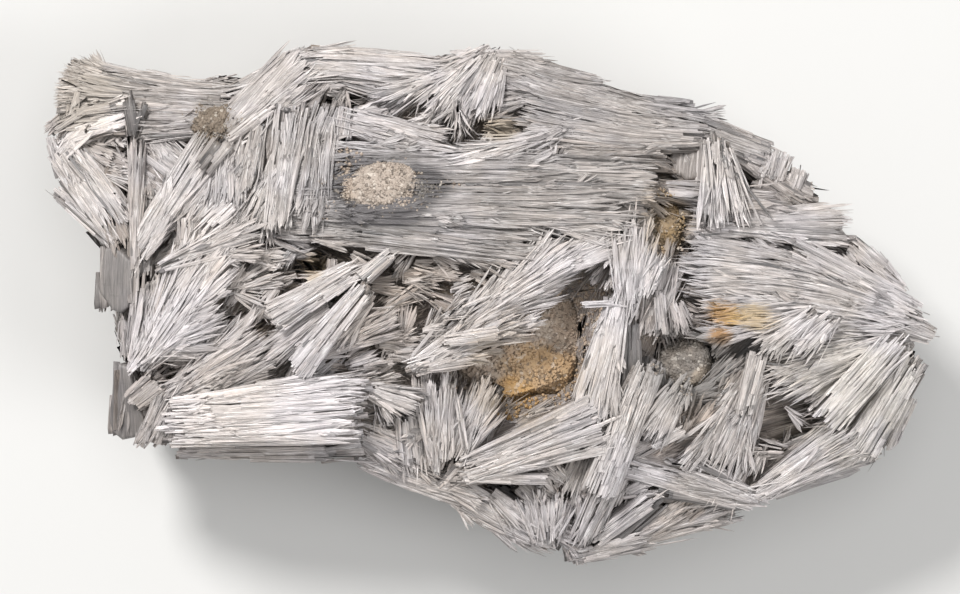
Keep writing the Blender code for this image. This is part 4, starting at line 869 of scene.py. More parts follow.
# %% Great fan
GREAT_FAN = [
    ("hanging_lilac", (34.2, 26.6), (34.4, 10.8), (3.6, 1.8), 4, (3.4, 2.9), 0, FAN, 0.82, 0.08, 0.0),
    ("hanging_lilac_side", (36.2, 25.6), (39.2, 11.4), (2.6, 1.6), 3.5, (2.9, 2.4), 0, FAN, 0.8, 0.12, 0.0),
    ("right_flank_slab", (37, 24.6), (50.2, 16.6), (2, 4.6), 7, (-0.6, -1.1), 0, SLAB, 0.5, 0.15, 0.2),
    ("round_block_large", (43.6, 19.6), (45, 24.2), (4.2, 4), 6, (-0.1, -0.6), 0, PADDLE, 0.72, 0.06, 0.05),
    ("round_block_small", (47.2, 18), (48.4, 21.2), (2.8, 2.6), 5, (-0.6, -1.1), 0, PADDLE, 0.74, 0.06, 0.05),
    ("right_flank_low", (39.5, 18.5), (51, 15.4), (3, 2.6), 6, (-1.6, -1.6), 0, SLAB, 0.45, 0.2, 0.2),
    ("fan_upper_end", (35, 13), (56.8, 12.4), (3, 6.6), 8, (0.9, 0.9), 0, SILK, 0.74, 0.05, 0.03),
    ("fan_upper_thin", (25, 18.6), (46, 15.2), (3, 1.8), 5, (1.4, 1.4), 0, FAN, 0.6, 0.06, 0.15),
    ("fan_upper_left", (46, 12.5), (29, 13.5), (3, 4.5), 6, (0.4, 0.4), 0, SHEAF, 0.62, 0.06, 0.1),
    ("great_fan_outer", (67.2, -1), (46, 9.4), (2.4, 3), 6, (0.4, 1.4), -0.8, SLAB, 0.82, 0.04, 0.0),
    ("great_fan_rim", (65, 1.4), (55.6, 9.8), (2, 3.2), 7, (-1.6, -1.6), -1, SLAB, 0.7, 0.06, 0.03),
    ("great_fan_upper", (68, -2.4), (28.5, 8), (2.6, 5.4), 7, (0.4, 0.9), -2.8, SHEAF, 0.74, 0.05, 0.02),
    ("great_fan_middle", (68.4, -3.2), (30, 3.4), (2.6, 4.6), 7, (0.9, 0.9), -2.6, SHEAF, 0.74, 0.05, 0.02),
    ("great_fan_lower", (66, -4.2), (34, -2.2), (2.4, 6), 7, (0.9, 1.4), -1.8, FAN, 0.72, 0.05, 0.04),
    ("fan_root_knob", (69.6, -5), (64, -2.8), (2.6, 4), 7, (-0.6, -0.1), 0, SLAB, 0.62, 0.08, 0.08),
    ("leaf_outer", (54, -1.6), (46.6, -8.4), (2.8, 3.2), 4, (1.9, 1.9), 0, FAN, 0.82, 0.03, 0.0),
    ("leaf_inner", (50.5, -0.8), (42.2, -6.6), (2.6, 3), 4, (2.4, 1.9), 0, FAN, 0.82, 0.03, 0.0),
    ("stain_filler", (39, -0.6), (31, 0.4), (2.6, 4), 4, (0.2, -0.2), 0, FAN, 0.62, 0.03, 0.3),
    ("fine_fan", (63, -5.6), (43.5, -12), (4.6, 6), 6, (0.4, 0.4), 0, FAN, 0.7, 0.05, 0.03),
]
grow_region("great_fan", GREAT_FAN, 7)

# %% [markdown]
# ## The slabs below the great fan
# Two thick bundles follow the rim down from the root of the great fan, and a third comes up to meet them. Between them
# is the deepest hollow, with one clear grey blade as its back wall.

# %% Right slabs
RIGHT_SLABS = [
    ("right_slab_inner", (64, -5.4), (51.6, -19), (5.4, 5.6), 8, (1.4, 1.4), 0, SLAB, 0.82, 0.04, 0.0),
    ("right_slab_outer", (66.6, -8.6), (57, -24), (4.6, 6), 8, (0.4, 0.4), 0, SLAB, 0.76, 0.06, 0.03),
    ("right_slab_rim", (66, -14.5), (62, -23), (2.4, 2.6), 7, (-1.6, -2.6), 0, SLAB, 0.62, 0.08, 0.05),
    ("lower_right_fan", (41, -30.2), (57, -21), (3, 7.4), 7, (0.4, 0.9), 0, SHEAF, 0.8, 0.05, 0.03),
    ("lower_right_rim", (39.6, -31.2), (60.6, -23.4), (2.4, 2.6), 6, (-1.2, -1.3), 0.5, SILK, 0.68, 0.08, 0.04),
    ("hollow_wall", (53.5, -16), (40.5, -19.5), (11, 10), 4, (-6.6, -6.6), 0, GLASS, 0.62, 0.30, 0.10),
    ("bridging_blade", (45.6, -15.8), (49.8, -19.8), (0.4, 0.5), 1.0, (-2.6, -2.6), 0, FAN, 0.9, 0.05, 0.0),
    ("hollow_needle", (45.8, -23), (47.5, -20.3), (0.8, 0.5), 1.5, (-4, -3), 0, SPRAY, 0.75, 0.1, 0.0),
    ("lilac_leaf", (41.6, -7.4), (39, -17.4), (3, 2.4), 5, (0.9, 0.9), 0, SLAB, 0.78, 0.08, 0.0),
    ("small_hollow_wall", (33, -14), (42.5, -5), (5, 5), 4, (-3.6, -3.6), 0, GLASS, 0.45, 0.7, 0.1),
    ("centre_right_fan", (42, -9.5), (34.6, -26), (4.4, 8.6), 7, (-0.6, 0.4), 0, FAN, 0.72, 0.05, 0.08),
    ("apex_fan", (41.4, -30.4), (28.5, -25.4), (2, 5), 5, (0.4, 0.4), 0, FAN, 0.7, 0.05, 0.03),
    ("bottom_wedge", (19.5, -25), (41.4, -31.2), (3.8, 2.6), 7, (0.4, -0.6), 0, SLAB, 0.74, 0.08, 0.03),
    ("bottom_wedge_edge", (25, -29.4), (40.2, -32), (1.8, 1.6), 4, (-0.1, -1.1), 0, GLASS, 0.45, 0.6, 0.05),
    ("tan_plate", (26.2, -24.6), (38.5, -12.4), (5.6, 5), 6, (-1.6, -1.6), 0, GLASS, 0.62, 0.1, 0.35),
]
grow_region("right_slabs", RIGHT_SLABS, 8)

# %% [markdown]
# ## The uprights beside the pocket
# Right of the brown pocket, slabs lie side by side across the specimen: a long bright one and a grey one that point to
# the lower edge, and a column with a jagged top that points to the upper one. The grey one's dark glassy tint is
# painted shade on the side of the pillar that faces away from the light.

# %% Uprights
UPRIGHTS = [
    ("pillar_slab", (24.6, -9), (16.6, -30), (4.6, 5.6), 7, (1.9, 2.9), 0, SLAB, 0.76, 0.04, 0.0),
    ("pillar_wing", (29.5, -12.6), (23.6, -21.6), (4, 3.6), 5, (1.4, 1.9), 0, FAN, 0.66, 0.05, 0.05),
    ("pillar_splinter", (25, -22), (30, -19.4), (1.6, 1.2), 2.5, (1.4, 1.6), 0, SLAB, 0.9, 0.0, 0.0),
    ("pillar_foot", (17.8, -29), (13.4, -38), (5, 2.6), 6, (0.9, 0.4), 0, SHEAF, 0.74, 0.05, 0.03),
    ("white_slab", (19.6, 1), (15.6, -17.4), (3.6, 6.4), 7, (1.9, 2.4), 0, SILK, 0.82, 0.03, 0.0),
    ("centre_column", (20.8, -2.5), (22.6, 13.4), (3.4, 4.6), 6, (1.9, 3.4), 0, FAN, 0.8, 0.04, 0.0),
    ("centre_column_side", (23.4, 1), (26.2, 9.4), (2.6, 2.2), 5, (2.4, 2.4), 0, FAN, 0.74, 0.06, 0.03),
    ("column_root", (24, -5), (27.4, 6.4), (4, 4.6), 4, (-0.4, 0.2), 0, FAN, 0.62, 0.04, 0.22),
    ("centre_leaf", (19.6, 10.2), (18.4, 5.2), (1.6, 2.2), 4, (1.9, 1.9), 0, FAN, 0.8, 0.02, 0.05),
    # painted shade: a dark glassy slab stands for the shaded side of the pillar
    ("grey_side", (21.6, -2.4), (21.4, -15.4), (2.4, 3.4), 5, (0.4, 0.9), 0, SLAB, 0.4, 0.6, 0.1),
    ("drop_lath_left", (25.8, 2.2), (26.4, -5), (1.6, 1.8), 4, (0.9, 0.9), 0, SLAB, 0.72, 0.1, 0.1),
    ("drop_lath_right", (28.4, 0.8), (30, -4.6), (2.6, 2.6), 4, (-0.1, -0.1), 0, FAN, 0.62, 0.06, 0.2),
    ("thin_needle", (18.5, 0.3), (13.5, 0), (0.8, 0.6), 1.5, (2.4, 2.4), 0, SLAB, 0.9, 0.0, 0.0),
]
grow_region("pocket_uprights", UPRIGHTS, 9)

# %% [markdown]
# ## The fans that cross the pocket
# Three jagged fans reach over the brown pocket from the left, one above another, with single bright fingers on top.

# %% Pocket fans
POCKET_FANS = [
    ("mid_fan_upper", (-5, -3.4), (12.6, 9.2), (3, 6.6), 7, (1.4, 2.4), 0, FAN, 0.76, 0.03, 0.05),
    ("mid_fan_tips", (8, 4.8), (19, 11), (2.6, 3.6), 5, (1.9, 2.4), 0, FAN, 0.76, 0.03, 0.05),
    ("mid_fan_side", (-2, -2.4), (11.4, 3.6), (2, 3.4), 5, (0.9, 0.9), 0, FAN, 0.66, 0.03, 0.12),
    ("mid_fan_lower", (-13.5, -10), (5, -0.6), (2.6, 4.4), 6, (1.4, 1.9), 0, FAN, 0.74, 0.03, 0.06),
    ("mid_fan_third", (-6, -5.5), (6.4, -3.4), (2.4, 3.4), 4, (0.9, 0.9), 0, FAN, 0.7, 0.03, 0.1),
    ("bright_finger", (-8, -5.6), (1.2, -4.3), (1.6, 1.6), 3, (2.9, 2.9), 0, PADDLE, 0.95, 0.0, 0.0),
    ("low_finger", (-11, -10), (-2.4, -7.4), (1.8, 2.6), 4, (1.9, 1.4), 0, FAN, 0.72, 0.03, 0.1),
    ("crossing_needles", (-8, -2), (-3.5, 0.8), (1.2, 1.6), 2, (2, 2), 0, SPRAY, 0.85, 0.0, 0.05),
    ("pocket_needles", (-14, 3.4), (-9, 2), (1.8, 2.8), 2, (0.4, 0.2), 0, SPRAY, 0.6, 0.0, 0.3),
]
grow_region("pocket_fans", POCKET_FANS, 10)

# %% [markdown]
# ## The great slab
# The brightest sheaf of all is a thick slab at the lower left, broken nearly square, with a few sprays above its end.
# Part of its brightness is a painted sheen: its tone is raised above that of plain white blades.

# %% Great slab
GREAT_SLAB = [
    # partly painted sheen: the great slab's tone of 1.2 lies above plain white
    ("great_slab", (-51.6, -18.6), (-20.2, -16.4), (8, 8.6), 9, (2.9, 3.9), -0.3, SILK, 1.2, 0.0, 0.0),
    ("great_slab_upper", (-37, -13.2), (-18.8, -12.6), (2.4, 2.4), 5, (2.9, 2.9), 0, SHEAF, 0.9, 0.02, 0.03),
    ("slab_base", (-49.6, -22.8), (-24.6, -22.8), (2.8, 3.2), 7, (-1.1, -1.1), 0, SLAB, 0.68, 0.06, 0.05),
    ("slab_foot", (-26, -22.2), (-20, -21.2), (3.4, 4.6), 7, (-0.1, -0.6), 0, GLASS, 0.6, 0.3, 0.05),
    ("corner_mass", (-21, -20), (-11, -24.8), (4, 5), 8, (-0.6, -1.6), 0, SHEAF, 0.6, 0.1, 0.1),
    ("jagged_spray", (-19.5, -13), (-10.4, -16.2), (2.4, 3.4), 4, (1.4, 1.4), 0, FAN, 0.72, 0.05, 0.05),
    ("spray_needles", (-18, -15), (-15, -19.5), (1.4, 2.6), 3, (0.8, 0.6), 0, SPRAY, 0.7, 0.05, 0.05),
]
grow_region("great_slab", GREAT_SLAB, 11)

# %% [markdown]
# ## The lower edge
# Right of the great slab, short fans stand side by side like books, and more slabs and a silvery band follow the lower
# edge to its point.

# %% Lower edge
LOWER_EDGE = [
    ("lilac_wall", (-12.8, -17.4), (-12, -25.2), (5, 5), 6, (-0.6, -1.1), 0, SLAB, 0.68, 0.12, 0.05),
    ("vertical_fan_left", (-8.4, -25.6), (-7.6, -12), (3, 5), 6, (0.4, -0.1), 0, FAN, 0.76, 0.04, 0.03),
    ("vertical_fan_right", (-5.6, -24.6), (0, -12.6), (2.6, 4.4), 6, (0.4, -0.1), 0, FAN, 0.74, 0.04, 0.05),
    ("upright_wisp", (-4, -23.5), (-5.5, -14.4), (0.7, 0.5), 1.5, (1.6, 1.6), 0, SLAB, 0.9, 0.0, 0.0),
    ("lower_slab", (-5, -26.2), (17.2, -18.4), (4.2, 9), 8, (1.4, 2.9), 0, SLAB, 0.85, 0.03, 0.0),
    ("lower_slab_edge", (-5.6, -27), (9, -27.4), (1.8, 1.8), 4, (0.9, 0.9), 0, SLAB, 0.85, 0.03, 0.0),
    ("pink_facet", (4.5, -28), (9.4, -32), (4.6, 5), 4, (-1.6, -1.6), 0, GLASS, 0.66, 0.1, 0.12),
    ("bottom_fan", (8.6, -38), (8.4, -30), (5, 9), 7, (-0.6, -0.6), 0, FAN, 0.76, 0.05, 0.05),
    ("side_fibres", (14.4, -23), (11.5, -30), (3, 3.4), 5, (-0.6, -0.6), 0, SHEAF, 0.62, 0.05, 0.08),
    ("bottom_rim", (-6.5, -29.2), (10.8, -37.6), (4.4, 4.6), 8, (-1.8, -2.0), -0.8, SILK, 0.80, 0.06, 0.02),
    ("left_bottom_band", (-21, -24.0), (-4, -29.6), (3.4, 4.2), 8, (-2.0, -1.9), -0.4, SILK, 0.78, 0.06, 0.02),
    ("apex_block", (13.4, -37.4), (14, -41), (5, 1.8), 6, (-1.6, -2.6), 0, SLAB, 0.65, 0.1, 0.05),
    ("foot_lath_white", (15.6, -37.4), (25.4, -29.8), (2, 2.4), 4, (-0.1, -0.1), 0, SLAB, 0.8, 0.05, 0.0),
    ("foot_lath_dark", (19, -37.8), (27, -30.4), (2.6, 2.6), 4, (-0.6, -0.6), 0, SLAB, 0.4, 0.55, 0.1),
    ("foot_lath_tan", (22.5, -37), (31, -31.6), (2.4, 3), 4, (-1.1, -1.1), 0, SHEAF, 0.6, 0.08, 0.2),
    ("right_bottom_rim", (16.4, -38.4), (38.8, -32.2), (3.8, 2.6), 7, (-2.0, -1.8), 0, SILK, 0.70, 0.08, 0.03),
    ("tip_rim", (13.2, -39.9), (26, -36.6), (2.2, 2.8), 4, (-0.5, -0.6), 0, SILK, 0.6, 0.05, 0.06),
]
grow_region("lower_edge", LOWER_EDGE, 12)

# %% [markdown]
# ## Flank and back
# The sides and the back are broken across: the sheaves show as rougher, coarser blades that follow the rim in three
# tiers. The blades of the back lie flat on the ground, so their low points are pressed to its level.

# %% Flank and back
OUTLINE = [
    (-69.8, 33), (-66, 39), (-55, 36), (-42, 34), (-34, 38.3), (-28, 41), (-18, 39.2), (-9, 38.7), (1, 41),
    (10, 37.5), (22, 33), (32, 31), (43, 24.8), (49.4, 19), (56, 14), (62, 5), (69.6, -4.6), (66.6, -13), (66, -19.5),
    (58, -25), (50, -29.3), (40, -32.6), (30, -36), (20, -39.2), (14, -41.2), (8, -39), (-3, -33), (-13, -27.2),
    (-25, -24.2), (-41, -24), (-50, -23.6), (-59.6, -20.6), (-59.6, -11), (-58.4, -4), (-61.6, 3), (-60.8, 10),
    (-69, 18.6), (-70.4, 26),
]
FLANK_TIERS = ((17, 23, 1.6, 0.3), (10, 15, 2.2, -0.05), (2.5, 7.5, 5.5, -0.4))
FLANK_WIDTH, FLANK_BULGE = (6.5, 9.5), 2.4
BACK_SHEAVES = [
    ((-56, 20), (-24, 29), 10), ((-50, 31), (-34, 10), 8), ((-53, -12), (-17, -17), 12), ((-50, 3), (-10, 8), 11),
    ((-17, 31), (20, 25), 11), ((8, 17), (50, 5), 12), ((20, -26), (54, -16), 11), ((-14, -8), (30, -5), 13),
    ((-2, -22), (20, -31), 9), ((32, -9), (56, -1), 9),
]


def flank_sheaves():
    """Tier, start, stop, outward direction and width of every broken sheaf of the rim."""
    rng = random.Random(11)
    corners = [Vector(corner) for corner in OUTLINE]
    made = []
    for tier, (low, high, inset, upward) in enumerate(FLANK_TIERS):
        for index in range(tier % 2, len(corners), 2):
            a, b = corners[index], corners[(index + 2) % len(corners)]
            outward = Vector((-(b - a).y, (b - a).x)).normalized()
            away = inset + FLANK_BULGE + rng.uniform(-0.6, 0.6)
            start = (*(a - outward * away), rng.uniform(low, high))
            stop = (*(b - outward * away), rng.uniform(low, high))
            made.append((tier, start, stop, (*outward, upward), rng.uniform(*FLANK_WIDTH)))
    return made


FLANK_SHEAVES = flank_sheaves()


def flank_guides(tiers):
    return [rim_guide(start, stop, outward, width, FLANK_BULGE)
            for tier, start, stop, outward, width in FLANK_SHEAVES if tier in tiers]


def grow_outer(name, guides, depth, tones, glass, stain, seed):
    """Rough blades on the flank or the back. Though they are deep below the dome, they get hardly any painted shade or
    brown stain.
    """
    rng = np.random.default_rng(seed)
    crops = [grow(guide, length, width, depth, ROUGH, rng, rng.uniform(*tones), glass, stain, 1.2, 0.15)
             for guide, length, width in guides]
    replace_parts(harvest(name, crops, silky), "tremolite_sheaves")


grow_outer("flank_upper", flank_guides((0,)), 3, (0.5, 0.75), 0.05, 0.12, 20)
grow_outer("flank_lower", flank_guides((1, 2)), 3, (0.5, 0.75), 0.05, 0.12, 20)
back_guides = [rim_guide((*a, 0.3), (*b, 0.3), (0, 0, -1), width, 0) for a, b, width in BACK_SHEAVES]
grow_outer("back_sheaves", back_guides, 2, (0.5, 0.7), 0.03, 0.15, 21)

# %% [markdown]
# ## The axes of all sheaves
# What grows between the sheaves has to know which sheaf it belongs to. Here every sheaf becomes a block in space, with
# its three directions and its half sizes, and two functions find the nearest one to a place.

# %% Axes of all sheaves in space
ALL_SHEAVES = [Sheaf(*row) for table in (
    ARM_AND_LOBE, SHOULDER, LEFT_FANS, TOP_EDGE, UPPER_RIGHT, LONG_RIDGE, GREAT_FAN, RIGHT_SLABS, UPRIGHTS,
    POCKET_FANS, GREAT_SLAB, LOWER_EDGE) for row in table]
ROOTS = np.array([s.root for s in ALL_SHEAVES], float)
RUNS = np.array([s.tip for s in ALL_SHEAVES], float) - ROOTS
LENGTHS = np.hypot(*RUNS.T)
HALF_WIDTHS = np.array([s.width for s in ALL_SHEAVES], float) / 2
LIFTS = np.array([s.lift for s in ALL_SHEAVES], float)
TINTS = np.array([(s.tone, s.glass, s.stain) for s in ALL_SHEAVES])
OUTER_DEPTH = 8.0
FLANK_TINT, BACK_TINT = (0.6, 0.12, 0.15), (0.6, 0.12, 0.18)
FACES_AT_ONCE = 2000                        # faces are looked up in groups of so many, to save memory


def sheaf_axes():
    """Middle, direction, outward direction, half length, half width, half depth and tint of every sheaf."""
    rows = []
    for s in ALL_SHEAVES:
        ends = [np.array([*flat, crest(np.array(flat, float)) + lift])
                for flat, lift in zip((s.root, s.tip), s.lift)]
        rows.append((ends[0], ends[1], crest_normal((np.array(s.root) + s.tip) / 2), sum(s.width) / 2, s.depth,
                     (s.tone, s.glass, s.stain)))
    for _tier, start, stop, outward, width in FLANK_SHEAVES:
        out = unit(np.array(outward))
        rows.append((np.array(start) + out * 1.6, np.array(stop) + out * 1.6, out, width, OUTER_DEPTH, FLANK_TINT))
    for a, b, width in BACK_SHEAVES:
        rows.append((np.array([*a, 0.0]), np.array([*b, 0.0]), np.array([0, 0, -1.0]), width, OUTER_DEPTH, BACK_TINT))
    start, stop, out = (np.array([row[i] for row in rows], float) for i in range(3))
    along = unit(stop - start)
    across = unit(np.cross(out, along))
    out = np.cross(along, across)
    width, depth = (np.array([row[i] for row in rows], float) for i in (3, 4))
    middle = (start + stop) / 2 - out * depth[:, None] / 2
    length, tint = np.linalg.norm(stop - start, axis=1), np.array([row[5] for row in rows])
    return middle, along, across, out, length / 2, width / 2, depth / 2, tint


AXIS_MIDDLE, AXIS_ALONG, AXIS_ACROSS, AXIS_OUT, AXIS_LENGTH, AXIS_WIDTH, AXIS_DEPTH, AXIS_TINT = sheaf_axes()


def nearest_axis(places, normals):
    """The sheaf that a place on the mass belongs to: its block passes nearest and is square to the face."""
    best = np.zeros(len(places), int)
    for first in range(0, len(places), FACES_AT_ONCE):
        group = slice(first, first + FACES_AT_ONCE)
        away = places[group, None] - AXIS_MIDDLE
        sides = [np.abs((away * axis).sum(2)) - half for axis, half in (
            (AXIS_ALONG, AXIS_LENGTH), (AXIS_ACROSS, AXIS_WIDTH), (AXIS_OUT, AXIS_DEPTH))]
        lean = np.abs(normals[group] @ AXIS_ALONG.T)
        best[group] = (np.abs(np.maximum.reduce(sides)) + 3 * lean * np.sqrt(1 - np.minimum(lean, 1) ** 2)).argmin(1)
    return best


def nearest_sheaf(flat):
    """Which sheaf is nearest to each place in plan, and how far outside its edge the place is, in millimetres."""
    share = np.clip(((flat[:, None] - ROOTS) * RUNS).sum(2) / LENGTHS ** 2, 0, 1)
    off = np.linalg.norm(flat[:, None] - ROOTS - RUNS * share[..., None], axis=2)
    off = off - blend(HALF_WIDTHS.T, share)
    best = off.argmin(1)
    return best, off[np.arange(len(best)), best]


print(len(AXIS_ALONG), "sheaves,", len(FLANK_SHEAVES), "of them on the flank")

# %% [markdown]
# ## The mass between the blades
# Deep between the blades the sheaves are grown solid. That mass is a copy of the solid model, drawn in a little so
# that the blades cover it. Its cleavage lines have to follow the sheaf that each face belongs to, so every face looks
# up the nearest sheaf and takes its direction for its blade map. Its colour is painted darker than its sheaf, as shade,
# more so the deeper it lies, and with depth it is also stained browner.

# %% Solid mass under the blades
DRAWN_IN, END_DRAWN_IN = 0.5, 1.0           # millimetres, in all directions and along the sheaf at its ends
AN_END, BROKEN = 0.75, 0.6                  # how squarely a face looks along its sheaf, to be drawn in or to be broken


def faces_of(bm):
    places = np.array([face.calc_center_median()[:] for face in bm.faces]) / MM
    normals = np.array([face.normal[:] for face in bm.faces])
    axes = nearest_axis(places, normals)
    return places, normals, axes, (normals * AXIS_ALONG[axes]).sum(1)


def solid_mass():
    bm = bmesh.new()
    bm.from_mesh(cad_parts["tremolite_sheaves"].data)
    bmesh.ops.remove_doubles(bm, verts=bm.verts, dist=1e-6)
    bmesh.ops.recalc_face_normals(bm, faces=bm.faces)
    bm.normal_update()
    moves = {vert: vert.normal * -DRAWN_IN for vert in bm.verts}
    _places, _normals, axes, facing = faces_of(bm)
    for face, axis, ahead in zip(bm.faces, axes, facing):
        if abs(ahead) > AN_END:
            for vert in face.verts:
                if moves[vert].length < END_DRAWN_IN:
                    moves[vert] = moves[vert] - Vector(AXIS_ALONG[axis]) * math.copysign(END_DRAWN_IN, ahead)
    for vert, move in moves.items():
        vert.co += move * MM
        vert.co.z = max(vert.co.z, 0.0)
    for (x, y), (wide, high), deep in [(*hole, HOLE_DEPTH) for hole in HOLES] + WORN:
        around = [edge for edge in bm.edges if all(
            abs(v.co.x / MM - x) < wide + 4 and abs(v.co.y / MM - y) < high + 4 and v.co.z > FLANK_TOP * MM
            for v in edge.verts)]
        bmesh.ops.subdivide_edges(bm, edges=around, cuts=2, use_grid_fill=True)
        for vert in bm.verts:
            away = math.hypot((vert.co.x / MM - x) / wide, (vert.co.y / MM - y) / high)
            if vert.co.z > FLANK_TOP * MM and away < 1.3:
                vert.co.z -= deep * MM * min(1, (1.3 - away) / 0.5)
    bmesh.ops.triangulate(bm, faces=[f for f in bm.faces if len(f.verts) > 3])
    bm.normal_update()
    uv = bm.loops.layers.uv.new("blade_map")
    tint = bm.verts.layers.float_color.new("tint")
    places, normals, axes, facing = faces_of(bm)
    depth_down = crest(places[:, :2]) - places[:, 2]
    for face, normal, axis, ahead, down in zip(bm.faces, normals, axes, facing, depth_down):
        # painted shade: the mass is darker than its sheaf and darker the deeper it lies; with depth it is also stained
        # browner
        low = min(max((down - 1) / 6, 0), 1) if down < 9 else 0.3
        tone, glass, stain = AXIS_TINT[axis]
        if abs(ahead) > BROKEN:             # the ends of many thin laths
            one, other, stretch, tone, stain = AXIS_OUT[axis], AXIS_ACROSS[axis], 5, tone * 0.7, stain + 0.15
        else:
            other = AXIS_ALONG[axis]
            one, stretch = unit(np.cross(normal, other)), 1
        for loop in face.loops:
            place = np.array(loop.vert.co) / MM
            loop[uv].uv = (place @ one, place @ other * stretch)
            loop.vert[tint] = (tone * 0.72 - 0.12 * low, glass * 0.6, min(stain + 0.12 + 0.5 * low, 1), 1)
    mesh = bpy.data.meshes.new("grown_mass")
    bm.to_mesh(mesh)
    bm.free()
    piece = dress("grown_mass", mesh, massive)
    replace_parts(piece, "tremolite_sheaves")
    print("grown mass", len(mesh.polygons), "faces,", int((np.abs(facing) > BROKEN).sum()), "of them broken across")
    return piece, axes, facing


mass, MASS_AXES, MASS_FACING = solid_mass()

# %% [markdown]
# ## Places on a surface
# Blades that stand alone need places to stand on. These are drawn at random on the faces of a mesh, in proportion to
# their area. Such blades also need directions, tints and a map of their own.

# %% Places on a surface
def places_on(mesh, keep, per_mm2, rng):
    """Random places on the faces that keep accepts: points and normals in millimetres, and which face each is on."""
    mesh.calc_loop_triangles()
    index = np.array([tri.vertices[:] for tri in mesh.loop_triangles])
    corners = np.array([v.co[:] for v in mesh.vertices])[index] / MM
    cross = np.cross(corners[:, 1] - corners[:, 0], corners[:, 2] - corners[:, 0])
    normal, area = unit(cross), np.linalg.norm(cross, axis=1) / 2
    area = area * keep(corners.mean(1), normal)
    count = int(area.sum() * per_mm2)
    picks = rng.choice(len(area), count, p=area / area.sum())
    a, b = rng.random(count), rng.random(count)
    fold = a + b > 1
    a, b = np.where(fold, 1 - a, a)[:, None], np.where(fold, 1 - b, b)[:, None]
    tri = corners[picks]
    return tri[:, 0] + (tri[:, 1] - tri[:, 0]) * a + (tri[:, 2] - tri[:, 0]) * b, normal[picks], picks


def place_blades(template, start, along, beside, face, size, wide, thick):
    """Copies of a template, one for each start, stretched along its own three directions, and their soft normals."""
    points = np.empty((len(start), len(template.points), 3))
    soft = np.empty_like(points)
    twist = TWIST * np.sin(start @ np.array([71.0, 97.0, 53.0]))
    for index, (x, y, z) in enumerate(template.points):
        points[:, index] = (start + along * (size * x)[:, None] + beside * (wide * y)[:, None]
                            + face * (thick * z)[:, None])
        soft[:, index] = unit(face + beside * (twist + ROUNDING * y)[:, None])
    return points, soft


def turned(headings, angles):
    """Headings in plan, each turned by its own angle in radians."""
    x, y = headings.T
    return np.stack([x * np.cos(angles) - y * np.sin(angles), x * np.sin(angles) + y * np.cos(angles)], 1)


def lone_tints(near, tone, glass, stain, rng, darkest=0.05):
    """Tints like the near ones. tone and stain are a shift and a spread, glass is a share and two values."""
    count, (share, clear, dull) = len(near), glass
    tones = np.clip(near[:, 0] + tone[0] + rng.normal(0, tone[1], count), darkest, 1)
    glassy = np.where(rng.random(count) < share, clear, dull)
    stains = np.clip(near[:, 2] + stain[0] + rng.normal(0, stain[1], count), 0, 1)
    return np.stack([tones, glassy, stains], 1)


def lone_map(template, size, wide, rng):
    """A blade map for blades that stand alone, each with its own stretch of cleavage lines."""
    across = template.points[None, :, 1] * wide[:, None] + rng.uniform(0, 90, len(size))[:, None]
    along = template.points[None, :, 0] * size[:, None] + rng.uniform(0, 90, len(size))[:, None]
    return np.stack([across, along], 2)


def heading_of(sheaves):
    """The heading in plan of each of the sheaves given by number."""
    return RUNS[sheaves] / LENGTHS[sheaves][:, None]


print("the mass offers", len(mass.data.polygons), "faces to stand on")

# %% [markdown]
# ## Undergrowth in the hollows
# No part of the hollows is bare. Short blades stand on their floors, roughly in line with the nearest sheaf but at all
# sorts of small angles, and the deeper they are the browner they get. They are also painted darker with depth, as
# shade.

# %% Undergrowth
UP = np.array([0, 0, 1.0])
EDGES = [(np.array(a, float), np.array(b, float)) for a, b in zip(OUTLINE, OUTLINE[1:] + OUTLINE[:1])]


def from_edge(flat):
    """Distance in plan to the outline, in millimetres."""
    nearest = np.full(len(flat), 1e3)
    for a, b in EDGES:
        share = np.clip(((flat - a) @ (b - a)) / ((b - a) @ (b - a)), 0, 1)
        nearest = np.minimum(nearest, np.linalg.norm(flat - a - share[:, None] * (b - a), axis=1))
    return nearest


def inside_outline(flat):
    """True where a place in plan lies within the outline: a ray to the right crosses it an odd number of times."""
    crossings = np.zeros(len(flat), int)
    for a, b in EDGES:
        level = (flat[:, 1] > a[1]) != (flat[:, 1] > b[1])
        at = a[0] + (flat[:, 1] - a[1]) * (b[0] - a[0]) / (b[1] - a[1] if b[1] != a[1] else 1)
        crossings += level & (flat[:, 0] < at)
    return crossings % 2 == 1


